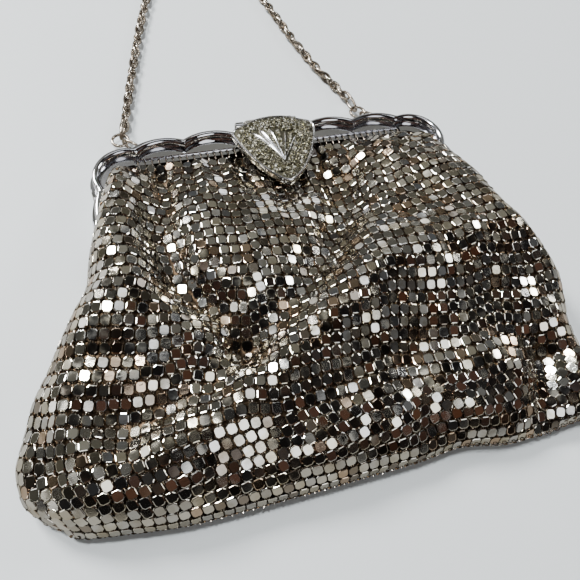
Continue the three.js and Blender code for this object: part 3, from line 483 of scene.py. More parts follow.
def evenRows(surface, start, rows, columns, finest=420):
    # rows at equal lengths along each column's own line down the surface
    down = np.linspace(start, 1, finest)[:, None] + 0 * columns[None, :]
    line = surface(columns[None, :] + 0 * down, down)
    lengths = np.concatenate([np.zeros((1, len(columns))),
                              np.cumsum(np.linalg.norm(np.diff(line, axis=0), axis=-1), 0)])
    wanted = (np.arange(rows) + 0.5) / rows
    return np.stack([np.interp(wanted * lengths[-1, k], lengths[:, k], down[:, k])
                     for k in range(len(columns))], 1)


# the back lies flat between the jaw's arms, and from the hinges down it widens to the side seams
backDown = [0, 0.025, 0.06, 0.15, 0.298, bag["backWide"]]
backLeft = curveThrough(backDown, [0.515, 0.555, 0.6, 0.615, 0.622, 0.72])
backRight = curveThrough(backDown, [0.515, 0.555, 0.6, 0.615, 0.622, 0.725])


def bagBack(across, down):
    # a level sheet with a low ripple, which rolls up to the seam along its edges
    narrow = down < bag["backWide"]
    left = np.where(narrow, backLeft(down), leftShare(down)) * bag["halfWidth"]
    right = np.where(narrow, backRight(down), rightShare(down)) * bag["halfWidth"]
    middle, half = (right - left) / 2, (right + left) / 2
    fromFrame = down * bag["length"] * (1 - bottomUp(across))
    sideRoll, endRoll = bag["backRoll"]
    roll = np.minimum(np.minimum((1 - np.abs(across)) / sideRoll, (1 - down) / endRoll), 1)
    seam = np.minimum(seamLevel(down), bag["seam"])
    ripple = bag["backRipple"] * relief(middle + across * half + bag["backShift"], fromFrame) * roll
    z = seam - (seam - bag["backLevel"]) * (1 - (1 - roll) ** 2) + np.maximum(ripple, -bag["backSink"])
    return np.stack([middle + across * half, bag["top"] - fromFrame, z], -1)


def tileModel(sides=8):
    # a flat square with cut corners and turned-down edges, as rings of (reach, level) round a middle
    cut = 0.5 - bag["tileCorner"]
    edge, quarterTurn = np.array([(0.5, -cut), (0.5, cut)]), np.array([(0, 1), (-1, 0)])
    corner = np.concatenate([edge @ np.linalg.matrix_power(quarterTurn, k) for k in range(4)])
    rings = bag["tileEdge"]
    points = np.concatenate([levelled(corner * reach, z) for reach, z in rings])
    lids = endFaces(len(rings), sides, flip=True)
    return points, [*lids, gridFaces(len(rings), sides, wrapColumns=True, flip=True)]


def meshPlaces(surface, start, outward):
    # the middle, the two edge directions, the normal and the pitches of every tile on a surface
    fine = np.linspace(-1, 1, 301)
    rowDown = evenRows(surface, start, bag["rows"], fine)
    whole = np.linspace(start, 1, 200)[:, None]
    line = surface(fine[None, :] + 0 * whole, whole + 0 * fine[None, :])
    lineLength = np.linalg.norm(np.diff(line, axis=0), axis=-1).sum(0)
    found = []
    for row in range(bag["rows"]):
        count = min(bag["topColumns"] + 2 * int(bag["widening"] * row), bag["columns"])
        rowLine = surface(fine, rowDown[row])
        length = np.concatenate([[0], np.cumsum(np.linalg.norm(np.diff(rowLine, axis=0), axis=-1))])
        across = np.interp((np.arange(count) + 0.5) / count * length[-1], length, fine)
        down = np.interp(across, fine, rowDown[row])
        step = 0.006
        left, right = np.clip(across - step, -1, 1), np.clip(across + step, -1, 1)
        low, high = np.clip(down - step, 0, 1), np.clip(down + step, 0, 1)
        along = unit(surface(right, np.interp(right, fine, rowDown[row]))
                     - surface(left, np.interp(left, fine, rowDown[row])))
        downward = unit(surface(across, high) - surface(across, low))
        normal = unit(np.cross(downward, along))
        # a tile stays square: its two directions share out the skew of the mesh between them
        along = unit(along + np.cross(normal, downward))
        found.append((surface(across, down), along, np.cross(along, normal), normal * outward,
                      np.full(count, length[-1] / count), np.interp(across, fine, lineLength) / bag["rows"]))
    return [np.concatenate([part[k] for part in found]) for k in range(6)]


def buildTiles(places, tilt):
    # centre + x along - y down + (z + lean) normal, with each tile leaning a little its own way
    centre, along, down, normal, pitchAcross, pitchDown = places
    points, blocks = tileModel()
    count = len(centre)
    sizeA = np.minimum(bag["fillAcross"] * pitchAcross, bag["tile"])[:, None, None]
    sizeD = np.minimum(bag["fillDown"] * pitchDown, bag["tile"])[:, None, None]
    lean = rng.normal(0, tilt, (count, 2))[:, None, :]
    x, y, z = points[None, :, :1], points[None, :, 1:2], points[None, :, 2:]
    rise = x * sizeA * lean[..., :1] + y * sizeD * lean[..., 1:]
    placed = centre[:, None] + x * sizeA * along[:, None] - y * sizeD * down[:, None] \
        + (z + rise) * normal[:, None]
    if np.mean(np.einsum("ij,ij->i", np.cross(along, -down), normal)) < 0:
        blocks = [block[:, ::-1] for block in blocks]
    shape = Shape()
    shape.addCopies(placed, blocks, tone=rng.uniform(0, 1, count))
    return shape


def buildLinks(places, steps, sides):
    # one small ring under each corner of a tile, and a narrow one that bridges to the next row
    centre, along, down, normal, pitchAcross, pitchDown = places
    below = centre + down * pitchDown[:, None] / 2
    middle = below + along * pitchAcross[:, None] / 2 - normal * bag["ringDrop"]
    wide, long = bag["bridge"]
    shape = Shape()
    addOvals(shape, middle, along * bag["ring"], down * bag["ring"], bag["ringWire"], steps, sides)
    addOvals(shape, below - normal * bag["bridgeDrop"], along * wide, down * long, bag["bridgeWire"], 6, 3, 1)
    for points in shape.points:
        points[:, 2] = np.maximum(points[:, 2], bag["lowest"])  # nothing sinks into the surface it lies on
    return shape


def buildShadeSheet(surface, outward, start):
    # a dark sheet just under the tiles: painted shade, standing for the shaded inside of the bag seen through
    # the gaps
    steps = bag["shadeSheetSteps"]
    across, down = np.meshgrid(np.linspace(-1, 1, steps), np.linspace(start, 1, steps))
    points = surface(across, down)
    alongStep, downStep = np.gradient(points, axis=1), np.gradient(points, axis=0)
    normal = unit(np.cross(downStep, alongStep)) * outward
    shape = Shape()
    addGrid(shape, points - normal * bag["shadeSheetDrop"], flip=outward > 0)
    return shape


def makeMesh(name, shape, materials, smooth=60):
    makePiece(name, shape, materials, "purse", ["mesh_bag"], smooth)


frontStart, backStart = bag["firstRow"] / bag["length"], bag["backStart"]
frontPlaces = meshPlaces(bagFront, frontStart, 1)
backPlaces = meshPlaces(bagBack, backStart, -1)
makeMesh("mesh_front", buildTiles(frontPlaces, bag["tileTilt"]), [tileMetal], None)
makeMesh("mesh_back", buildTiles(backPlaces, bag["backTilt"]), [tileMetal], None)
makeMesh("mesh_front_rings", buildLinks(frontPlaces, *bag["frontRing"]), [shadedLinkMetal, brownMetal])
makeMesh("mesh_back_rings", buildLinks(backPlaces, *bag["backRing"]), [shadedLinkMetal, brownMetal])
# painted shade: a dark sheet under the tiles of each side
makeMesh("mesh_front_shade_sheet", buildShadeSheet(bagFront, 1, frontStart), [shadedLinkMetal])
makeMesh("mesh_back_shade_sheet", buildShadeSheet(bagBack, -1, backStart), [shadedLinkMetal])


# Jaws: a rounded lip along the scallops, a flat face, a lower strip with holes, and the fittings of each jaw

jaw = {
    "gap": 0.3, "height": 4.3, "face": 2.0, "lipWidth": 2.3, "lipOuter": 0.8, "edge": 0.3,
    # right half of the outer edge: x and y of each notch, and the bulge of the scallop after it
    "notches": [(11.3, 4.886, 1.9), (26.1, 4.389, 1.9), (40.9, 3.5, 5.6), (51.9, -10.1, 1.4),
                (52.1, -25.6, 0)],
    "armWidth": 4.1, "armEndWidth": 2.6, "stripEdge": -1.4, "stripWidth": 1.9, "stripStep": 0.5,
    "middleBulge": 1.9, "lipWall": 1.8, "lipRound": 1.3, "lipFall": 0.8,
    "holePitch": 2.0, "hole": 0.9, "holeEdge": 1.25, "holeRims": (1.35, 1.18), "holeRimHeight": 0.12,
    "holeSides": 16, "cellRound": 1.6, "cornerDrop": 2, "cornerMiddle": (0.76, 0.32), "cornerSteps": 12,
    "stripSlope": 0.05, "frontBase": 4.6, "backOverhang": 1.2, "steps": 18,
}
hingeX, hingeY = jaw["notches"][4][:2]
armInner = hingeX - jaw["armEndWidth"]


def holePlaces():
    # the row of holes in the strip, evenly spaced about the middle
    count = 2 * int((jaw["notches"][2][0] - jaw["hole"]) / jaw["holePitch"]) + 1
    return (np.arange(count) - (count - 1) / 2) * jaw["holePitch"]


def circleThrough(a, b, c):
    # the point at equal distances from three points, and that distance
    d = 2 * (a[0] * (b[1] - c[1]) + b[0] * (c[1] - a[1]) + c[0] * (a[1] - b[1]))
    x = ((a @ a) * (b[1] - c[1]) + (b @ b) * (c[1] - a[1]) + (c @ c) * (a[1] - b[1])) / d
    y = ((a @ a) * (c[0] - b[0]) + (b @ b) * (a[0] - c[0]) + (c @ c) * (b[0] - a[0])) / d
    return np.array([x, y]), math.hypot(a[0] - x, a[1] - y)


def arcPoints(a, m, b, steps):
    # from a through m towards b, without b
    centre, radius = circleThrough(a, m, b)
    start, half, end = (math.atan2(p[1] - centre[1], p[0] - centre[0]) for p in (a, m, b))
    turn, half = (end - start) % (2 * math.pi), (half - start) % (2 * math.pi)
    if half > turn:
        turn -= 2 * math.pi
    angle = start + turn * np.arange(steps) / steps
    return centre + radius * np.stack([np.cos(angle), np.sin(angle)], 1)


def scallopEdge(inset, steps):
    # the outer edge from the left hinge to the right one, moved inwards: arcs that meet at the notches
    right = [np.array(n[:2]) for n in jaw["notches"]]
    corners = [p * (-1, 1) for p in right[::-1]] + right
    bulges = [n[2] for n in jaw["notches"][3::-1]] + [jaw["middleBulge"]] + [n[2] for n in jaw["notches"][:4]]
    arcs = []
    for a, b, bulge in zip(corners[:-1], corners[1:], bulges):
        outward = unit(np.array([a[1] - b[1], b[0] - a[0]]))
        top = (a + b) / 2 + outward * bulge
        arcs.append((*circleThrough(a, top, b), top - outward * inset, outward))
    meet = []
    for i, corner in enumerate(corners):
        pair = arcs[max(i - 1, 0)], arcs[min(i, len(arcs) - 1)]
        inward = -unit(pair[0][3] + pair[1][3])
        if i in (0, len(corners) - 1):
            inward = np.array([-np.sign(corner[0]), 0])
        depth = []
        for centre, radius, _, _ in pair:
            along = (centre - corner) @ inward
            apart = (centre - corner) @ (centre - corner) - along ** 2
            depth.append(along - math.sqrt(max((radius - inset) ** 2 - apart, 0)))
        meet.append(corner + inward * sum(depth) / 2)
    points = [arcPoints(meet[i], arc[2], meet[i + 1], steps) for i, arc in enumerate(arcs)]
    return np.concatenate([*points, meet[-1:]])


def innerCorner():
    # the right half of the inner edge, from the hinge to the end of the strip
    stripEnd, cornerY = jaw["notches"][2][0], jaw["notches"][3][1]
    bend = np.array([jaw["notches"][3][0] - jaw["armWidth"], cornerY + jaw["cornerDrop"]])
    start = np.array([stripEnd, jaw["stripEdge"]])
    middle = start + (bend - start) * jaw["cornerMiddle"]
    return np.concatenate([[(armInner, hingeY)], arcPoints(bend, middle, start, jaw["cornerSteps"]), [start]])


def lipProfile():
    # inset from the edge and height over the jaw's underside, from the bottom over the bead to the flat face
    outer, width, high, face = jaw["lipOuter"], jaw["lipWidth"], jaw["height"], jaw["face"]
    rise = outer * jaw["lipRound"]
    up = [(jaw["edge"], 0), (0.08, 0.1), (0, jaw["edge"]), (0, jaw["lipWall"])]
    over = [(outer - outer * math.cos(a), high - rise + rise * math.sin(a))
            for a in np.linspace(0, math.pi / 2, 7)]
    fall = [(outer + (width - outer) * math.sin(a), face + (high - face) * math.cos(a) ** jaw["lipFall"])
            for a in np.linspace(0, math.pi / 2, 10)[1:-1]]
    return up + over + fall + [(width, face)]


def addJaw(shape, base, overhang, turned):
    # lip up from base; a turned jaw is the same with its lip down
    level = (lambda z: base + jaw["height"] - z) if turned else (lambda z: base + z)
    profile = lipProfile()
    shape.add(*lipSurface(profile, level, overhang, turned))
    right = innerCorner()
    left = (right * (-1, 1))[::-1]
    stripEnd, edge, top = right[-1][0], jaw["stripEdge"], jaw["stripEdge"] + jaw["stripWidth"]
    face, strip = level(jaw["face"]), level(jaw["face"] - jaw["stripStep"])
    around = [(stripEnd, top), (-stripEnd, top)]
    inner = scallopEdge(jaw["lipWidth"] - overhang, jaw["steps"])
    outer = scallopEdge(jaw["edge"] - overhang, jaw["steps"])
    addPlate(shape, [np.concatenate([inner, right, around, left])], face, down=turned)
    addPlate(shape, [np.concatenate([outer, right, left])], level(0), down=not turned)
    for side in (right, left):  # the inner wall of each arm
        addGrid(shape, np.stack([levelled(side, z) for z in (level(0), face)]), flip=not turned)
    # the strip's own edge, and the small step from the strip up to the face
    steps = ((edge, level(0)), (edge, strip)), ((top, strip), (top + jaw["stripSlope"], face))
    for (y0, z0), (y1, z1) in steps:
        step = np.array([[(x, y0, z0), (x, y1, z1)] for x in (-stripEnd, stripEnd)])
        addGrid(shape, step, flip=not turned)
    addHoles(shape, edge, top, strip, level(0), turned)
    for side in (-1, 1):  # arm ends
        end = [(side * (hingeX + overhang - inset), hingeY, level(z)) for inset, z in profile]
        end += [(side * armInner, hingeY, level(jaw["face"])), (side * armInner, hingeY, level(0))]
        order = np.arange(len(end))[None, :]
        shape.add(end, [order if (side > 0) != turned else order[:, ::-1]])


def lipSurface(profile, level, overhang, turned):
    # the profile carried along the scallops: one line of the edge for each of its points
    lines = np.stack([levelled(scallopEdge(inset - overhang, jaw["steps"]), level(z))
                      for inset, z in profile])
    return lines, [gridFaces(*lines.shape[:2], flip=not turned)]


def addHoles(shape, edge, top, strip, bottom, turned):
    # each hole is the middle of a cell, joined to the cell's outline and let through the plate
    x, y = holePlaces(), edge + jaw["holeEdge"]
    sides, corner = jaw["holeSides"], jaw["cellRound"]
    turn = (np.arange(sides) + 0.5) * 2 * math.pi / sides
    upward = np.where(np.sin(turn) > 0, top - y, y - edge) * np.sign(np.sin(turn))
    cell = np.stack([np.clip(corner * np.cos(turn), -1, 1) * jaw["holePitch"] / 2,
                     upward * np.clip(corner * np.abs(np.sin(turn)), 0, 1)], 1)
    circle = jaw["hole"] / 2 * np.stack([np.cos(turn), np.sin(turn)], 1)
    outerRim, innerRim = (circle * share for share in jaw["holeRims"])
    rimTop = strip + jaw["holeRimHeight"] * (-1 if turned else 1)
    ring = np.stack([levelled(cell, strip), levelled(outerRim, strip), levelled(innerRim, rimTop),
                     levelled(circle, strip), levelled(circle, bottom)])
    cells = ring.reshape(1, -1, 3) + np.stack([x, np.full(len(x), y), 0 * x], 1)[:, None]
    shape.addCopies(cells, [gridFaces(len(ring), sides, wrapColumns=True, flip=turned)])


fittings = {
    "earThickness": 1.1, "earRadius": 2.4, "hingeZ": 4.45,
    "barrel": 2.6, "barrelLength": 13.4, "lugLength": 2.5, "lugHalf": 1.3,
    "plate": 2.6, "plateEdge": -0.9, "axisY": 8.8, "axisZ": 6.2,
    "eyeletX": 38, "eyeletY": 7.55, "eyeletBore": 2.3, "eyeletWall": 0.8, "eyeletLevel": 2.2,
    "tab": [(-1.6, -4, -0.6), (1.6, -1.0, 0.6)],  # corners of the tab behind the eyelet, from its middle
}


def addEars(shape, first):
    # a round ear at each arm's end; the other jaw's ears stand a thickness and a gap further out
    for side in (-1, 1):
        inner = armInner + (0 if first else fittings["earThickness"] + jaw["gap"])
        span = sorted((side * inner, side * (inner + fittings["earThickness"])))
        addBarX(shape, fittings["earRadius"], *span, hingeY, fittings["hingeZ"])


def addEyelet(shape, side):
    # a round ring that stands upright: a profile carried round the bore, with a tab behind it
    radius, bore, half = fittings["eyeletBore"] / 2 + fittings["eyeletWall"], fittings["eyeletBore"] / 2, 0.6
    profile = [(bore, 0.25), (bore + 0.15, 0.5), (bore + 0.4, half), (radius - 0.2, half - 0.08),
               (radius, 0.3), (radius, -0.3), (radius - 0.2, 0.08 - half), (bore + 0.4, -half),
               (bore + 0.15, -0.5), (bore, -0.25)]
    turn = np.arange(32) * math.pi / 16
    centre = np.array([side * fittings["eyeletX"], fittings["eyeletY"], fittings["eyeletLevel"]])
    points = np.array([[(reach * math.cos(t), level, reach * math.sin(t)) for reach, level in profile]
                       for t in turn])
    addGrid(shape, centre + points, wrapRows=True, wrapColumns=True, flip=True)
    addBlock(shape, *(centre + corner for corner in fittings["tab"]))


frontJaw = Shape()
addJaw(frontJaw, jaw["frontBase"], 0, False)
addEars(frontJaw, False)
makePiece("front_jaw_chrome", frontJaw, [chrome], "purse", ["front_jaw"], 35)

backJaw = Shape()
addJaw(backJaw, 0, jaw["backOverhang"], True)
addEars(backJaw, True)
axisY, axisZ = fittings["axisY"], fittings["axisZ"]
lug = fittings["barrelLength"] / 2 + jaw["gap"]
lugEnd = lug + fittings["lugLength"]
addBlock(backJaw, (-lugEnd, fittings["plateEdge"], 0), (lugEnd, axisY, fittings["plate"]))
for side in (-1, 1):
    low, high = sorted((side * lug, side * lugEnd))
    addBarX(backJaw, fittings["barrel"] / 2, low, high, axisY, axisZ)
    addBlock(backJaw, (low, axisY - fittings["lugHalf"], 0), (high, axisY + fittings["lugHalf"], axisZ))
    addEyelet(backJaw, side)
makePiece("back_jaw_chrome", backJaw, [chrome], "purse", ["back_jaw"], 35)

# wires that hang the mesh: from each hole over the strip's edge, down to the first row of tiles
wire = {
    "radius": 0.16, "sides": 6,
    "path": [(0, -0.1, 5.2), (0, -0.15, 6.2), (0, -0.5, 6.75), (0, -1.2, 6.85), (0, -2.0, 6.9),
             (0, -2.9, 7.15), (0, -3.6, 7.1)],
}
wirePaths = np.array(wire["path"]) + holePlaces()[:, None, None] * (1, 0, 0)
wires = Shape()
addTubes(wires, wirePaths, wire["radius"], (1, 0, 0), wire["sides"])
makeMesh("mesh_wires", wires, [wireMetal])


# Clasp: a shield with a polished edge wire, stones in rows, and a fan of ribs

clasp = {
    "halfWidth": 12.5, "top": 5.7, "height": 24.6, "base": 9.9, "face": 11.5, "apexShare": 0.72,
    "edgeWire": 0.6, "stone": 1.72, "pitch": 1.85, "rowPitch": 0.88, "margin": 1.1, "stoneHeight": 0.8,
    "ribHeight": 1.2, "ribSink": 0.2, "ribSteps": 14, "ribSides": 9, "fanRoom": 0.02, "fanEdge": 5,
    "dome": 1.1, "domeMiddle": 0.4, "domeReach": 0.62, "domeRise": 1.2, "bedMiddle": 0.42, "bedRings": 12,
    "strapIn": 4, "strapRise": 1.1, "prongMargin": 0.5,
    # stones between two ribs: from a share of the rib's length to a little past it, a share of the pitch
    # apart, as wide as the ribs leave room for, within two shares of a whole stone
    "betweenFrom": 0.36, "betweenPast": 0.8, "betweenPitch": 0.62,
    "betweenRoom": 0.7, "betweenSize": (0.42, 0.75),
    "lean": 0.09, "bead": 0.26, "beadLevel": 0.42, "loopSteps": 90, "faceEdge": 0.5, "edgeInset": 0.38,
    # turn from upright in degrees, length as a share of the height, and width of each rib
    "ribs": [(30, 0.55, 1.7), (20, 0.55, 1.5), (8, 0.52, 1.0), (-14, 0.45, 0.8), (-32, 0.42, 0.9)],
    # right half of the shield from the top to the tip: shares of the half width and the height
    "outline": [(0, 0), (0.34, 0.02), (0.7, 0.09), (0.93, 0.13), (1, 0.19), (0.95, 0.3), (0.8, 0.5),
                (0.6, 0.71), (0.33, 0.89), (0.1, 0.985), (0, 1)],
}


def shieldLoop(inset, steps=clasp["loopSteps"]):
    # the outline as a smooth path, evenly spaced, clockwise from the middle of its top
    half = np.array(clasp["outline"])
    loop = np.concatenate([half, (half[1:-1] * (-1, 1))[::-1], half[:1]])
    size = np.array([clasp["halfWidth"] - inset, clasp["height"] - 2 * inset])
    path = smoothPath(levelled(loop * size, 0), 0.2)[0]
    at = np.linspace(0, len(path) - 1, steps + 1)[:-1]
    xy = np.stack([np.interp(at, np.arange(len(path)), path[:, k]) for k in (0, 1)], 1)
    return np.column_stack([xy[:, 0], clasp["top"] - inset - xy[:, 1]])


def inside(loop, x, y):
    # a point is inside where a line to the right of it crosses the loop an odd number of times
    ax, ay = loop[:, 0], loop[:, 1]
    bx, by = np.roll(ax, -1), np.roll(ay, -1)
    with np.errstate(divide="ignore", invalid="ignore"):
        edge = ax + (y[:, None] - ay) / (by - ay) * (bx - ax)
    return (((ay > y[:, None]) != (by > y[:, None])) & (x[:, None] < edge)).sum(1) % 2 == 1


apex = np.array([0, clasp["top"] - clasp["apexShare"] * clasp["height"]])


def stonePlaces():
    # rows across the shield outside the fan, and smaller ones between the ribs: x, y, size share
    rowPitch = clasp["pitch"] * clasp["rowPitch"]
    rows = np.arange(int(clasp["height"] / rowPitch) + 1)
    columns = np.arange(-7, 8)
    x = ((columns[None, :] + (rows[:, None] % 2) * 0.5) * clasp["pitch"]).ravel()
    y = (clasp["top"] - clasp["margin"] - rows[:, None] * rowPitch + 0 * columns[None, :]).ravel()
    turn = np.degrees(np.arctan2(apex[0] - x, y - apex[1]))
    reach = np.hypot(x - apex[0], y - apex[1]) / clasp["height"]
    ribs = clasp["ribs"]
    room = np.interp(turn, [rib[0] for rib in ribs[::-1]], [rib[1] for rib in ribs[::-1]]) + clasp["fanRoom"]
    inFan = (turn < ribs[0][0] + clasp["fanEdge"]) & (turn > ribs[-1][0] - clasp["fanEdge"])
    inFan &= (reach < room) & (y > apex[1])
    keep = inside(shieldLoop(clasp["margin"]), x, y) & ~inFan
    places = [np.column_stack([x[keep], y[keep], np.ones(keep.sum())])]
    for (turnA, lengthA, _), (turnB, lengthB, _) in zip(ribs[1:-1], ribs[2:]):
        middle, length = math.radians((turnA + turnB) / 2), min(lengthA, lengthB) * clasp["height"]
        apart = 2 * math.sin(math.radians(turnA - turnB) / 2)
        far = np.arange(length * clasp["betweenFrom"], length + clasp["betweenPast"],
                        clasp["pitch"] * clasp["betweenPitch"])
        width = np.clip((far * apart - clasp["betweenRoom"]) / clasp["stone"], *clasp["betweenSize"])
        x, y = apex[0] - far * math.sin(middle), apex[1] + far * math.cos(middle)
        places.append(np.column_stack([x, y, width]))
    return np.concatenate(places)


def addStones(shape, places, slot):
    # a cut stone: table, eight star and kite facets and a girdle, as rings of (reach, level, turn)
    rings = [(0.29, 1.0, 0), (0.4, 0.72, 1), (0.5, 0.3, 0), (0.5, -0.3, 0)]  # turn in half facets
    model = []
    for reach, level, shift in rings:
        turn = (np.arange(8) + shift / 2) * math.pi / 4
        model.append(levelled(np.stack([reach * np.cos(turn), reach * np.sin(turn)], 1), level))
    model = np.stack(model)
    k = np.arange(8)
    after = (k + 1) % 8
    faces = [np.stack([8 + k, after, k], 1), np.stack([8 + k, 8 + after, after], 1),
             np.stack([16 + k, 16 + after, 8 + k], 1), np.stack([16 + after, 8 + after, 8 + k], 1),
             np.stack([24 + k, 24 + after, 16 + after, 16 + k], 1), *endFaces(4, 8, flip=True)]
    turn = rng.uniform(0, math.pi / 4, len(places))
    lean = rng.normal(0, clasp["lean"], (len(places), 2))
    size = places[:, 2] * clasp["stone"]
    x, y, z = (model.reshape(-1, 3)[:, k][None] for k in range(3))
    across = (x * np.cos(turn)[:, None] - y * np.sin(turn)[:, None]) * size[:, None]
    upward = (x * np.sin(turn)[:, None] + y * np.cos(turn)[:, None]) * size[:, None]
    level = clasp["face"] + z * clasp["stoneHeight"] * places[:, 2:3]
    level = level + across * lean[:, :1] + upward * lean[:, 1:]
    points = np.stack([places[:, :1] + across, places[:, 1:2] + upward, level], -1)
    # each point of a stone has its own random tone, which the facets carry as painted glints and painted
    # shade
    shape.addCopies(points, faces, slot)
    tones = rng.uniform(0, 1, points.shape[0] * points.shape[1])
    shape.values.setdefault("tone", []).append((shape.count - len(tones), tones))


def addBeads(shape, places, slot):
    # small round prongs in the hollows between stones: domes of three rings
    angle = np.arange(6) * math.pi / 3
    model = np.concatenate([levelled(reach * np.stack([np.cos(angle), np.sin(angle)], 1), level)
                            for reach, level in ((1, -0.6), (0.86, 0.5), (0.4, 0.92))])
    corner = np.array([[0.5, 0.29], [0.5, -0.29], [0, 0.58]]) * clasp["pitch"]
    centre = (places[:, None, :2] + corner[None]).reshape(-1, 2)
    centre = centre[inside(shieldLoop(clasp["prongMargin"]), centre[:, 0], centre[:, 1])]
    points = model[None] * clasp["bead"] + levelled(centre, clasp["face"] + clasp["beadLevel"])[:, None]
    shape.addCopies(points, [gridFaces(3, 6, wrapColumns=True), *endFaces(3, 6)], slot)


def addRibs(shape, slot):
    # each rib is a blade: a rounded ridge that narrows to the fan's point and is highest past its middle
    steps, sides, sink = clasp["ribSteps"], clasp["ribSides"], clasp["ribSink"]
    s, a = np.linspace(0, 1, steps)[:, None], np.linspace(0, math.pi, sides)[None, :]
    widening, swell = 0.32 + 0.68 * s, 0.5 + 0.5 * np.sin(math.pi * s * 0.85)
    roundEnd, roundTip = np.sqrt(np.clip(1 - s ** 10, 0.02, 1)), np.sqrt(np.clip(1 - s ** 8, 0.05, 1))
    for turn, length, width in clasp["ribs"]:
        wide = width * widening * roundEnd / 2
        high = clasp["ribHeight"] * min(width, 1) ** 0.5 * swell * roundTip
        x, y = wide * np.cos(a), s * (length * clasp["height"]) + 0 * a
        z = clasp["face"] - sink + (high + sink) * np.sin(a) ** 0.8
        t = math.radians(turn)
        points = np.stack([apex[0] + x * math.cos(t) - y * math.sin(t),
                           apex[1] + x * math.sin(t) + y * math.cos(t), z], -1)
        faces = [gridFaces(steps, sides, wrapColumns=True, flip=True), *endFaces(steps, sides, flip=True)]
        shape.add(points, faces, slot)


def domed(shape):
    # everything above the base rises by a dome over the middle of the shield
    for points in shape.points:
        across = points[:, 0] / clasp["halfWidth"]
        down = points[:, 1] - clasp["top"] + clasp["height"] * clasp["domeMiddle"]
        down /= clasp["height"] * clasp["domeReach"]
        rise = np.clip(1 - across ** 2, 0, 1) * np.clip(1 - down ** 2, 0, 1)
        height = np.clip((points[:, 2] - clasp["base"]) / clasp["domeRise"], 0, 1)
        points[:, 2] += clasp["dome"] * rise * height
    return shape


def addShield(shape):
    # the body's wall, its bed for the stones, its underside, and a polished wire round the bed
    base, face, inset = clasp["base"], clasp["face"], clasp["faceEdge"]
    rings = [(inset, base), (0.1, base + 0.15), (0, base + 0.4), (0, face - 0.3), (0.15, face - 0.05),
             (inset, face)]
    wall = np.stack([levelled(shieldLoop(reach), z) for reach, z in rings])
    addGrid(shape, wall, wrapColumns=True, flip=True)
    centre, rim = np.array([0, clasp["top"] - clasp["height"] * clasp["bedMiddle"]]), shieldLoop(inset)
    shares = np.linspace(1, 0.02, clasp["bedRings"])
    nested = np.stack([levelled(centre + (rim - centre) * share, face) for share in shares])
    rows, columns = nested.shape[:2]
    lid = endFaces(rows, columns, flip=True)[1]
    shape.add(nested, [gridFaces(rows, columns, wrapColumns=True, flip=True), lid], 3)
    addPlate(shape, [rim], base, down=True)
    loop = levelled(shieldLoop(clasp["edgeInset"]), face + 0.1)
    tangent = unit(np.roll(loop, -1, 0) - np.roll(loop, 1, 0))
    side, upward = np.cross(tangent, (0, 0, 1))[:, None], np.array([0, 0, 1.0])
    turn = (np.arange(10) * math.pi / 5)[:, None]
    edge = loop[:, None] + clasp["edgeWire"] / 2 * (side * np.cos(turn) + upward * np.sin(turn))
    addGrid(shape, edge, 1, wrapRows=True, wrapColumns=True, flip=True)


def addStrap(shape):
    # the barrel on the pin, and the strap's section from it over the jaw's lip and under the shield
    half, base, inner = fittings["barrelLength"] / 2, clasp["base"], clasp["top"] - clasp["strapIn"]
    under = base + clasp["strapRise"]
    addBarX(shape, fittings["barrel"] / 2, -half, half, axisY, axisZ)
    bend = [(axisY + 0.7, axisZ + 0.7), (axisY + 0.1, axisZ + 1.7), (axisY - 0.8, axisZ + 2.9),
            (axisY - 1.8, base + 0.3), (clasp["top"] - 0.3, under), (inner, under),
            (inner, base), (axisY - 2.4, base), (axisY - 1.75, base - 0.6), (axisY - 1.2, axisZ + 2.0),
            (axisY - 1.2, axisZ + 0.4)]
    strap = np.array([[(x, y, z) for y, z in bend] for x in (-half, half)])
    shape.add(strap, [gridFaces(2, len(bend), wrapColumns=True), *endFaces(2, len(bend), flip=True)])


def buildClasp():
    # material slots: 0 plain metal, 1 polished edge and ribs, 2 stones, 3 the bed under them, painted dark as
    # the shade between the stones
    shape = Shape()
    addShield(shape)
    places = stonePlaces()
    addStones(shape, places, 2)
    addBeads(shape, places[places[:, 2] == 1], 0)
    addRibs(shape, 1)
    addStrap(shape)
    return domed(shape)


claspMaterials = [claspMetal, ribMetal, stoneGlass, shadedBedMetal]
makePiece("clasp_stones", buildClasp(), claspMaterials, "flap", ["clasp"], 28, 2)


# Handle: an upright link in each eyelet, a jump ring, and a rope of oval links that turn step by step

handle = {
    "route": [(-41.8, 19), (-38.6, 33), (-36.4, 42.1), (-33.7, 53.2), (-30.6, 65), (-26.4, 79.4),
              (-20.6, 98), (-15.4, 112), (-9.8, 123.4), (-3.4, 128.6), (2.8, 124.8), (7.4, 113.6),
              (11.2, 97), (15.4, 76.5), (17.2, 68.5), (19.2, 58.7), (21.4, 49.2), (23.8, 40.1),
              (26.8, 31.3), (30.6, 21.6)],
    "level": 1.65, "step": 1.7, "turn": 36, "linkLength": 5.0, "linkWidth": 3.1, "wire": 0.8,
    "lean": 0.22, "ring": 4.7, "ringWire": 0.9, "eyeletLink": 7.0, "eyeletLinkHeight": 3.4, "swing": 47,
    "eyeletSlack": 0.17, "hookPlay": 1.4,
}


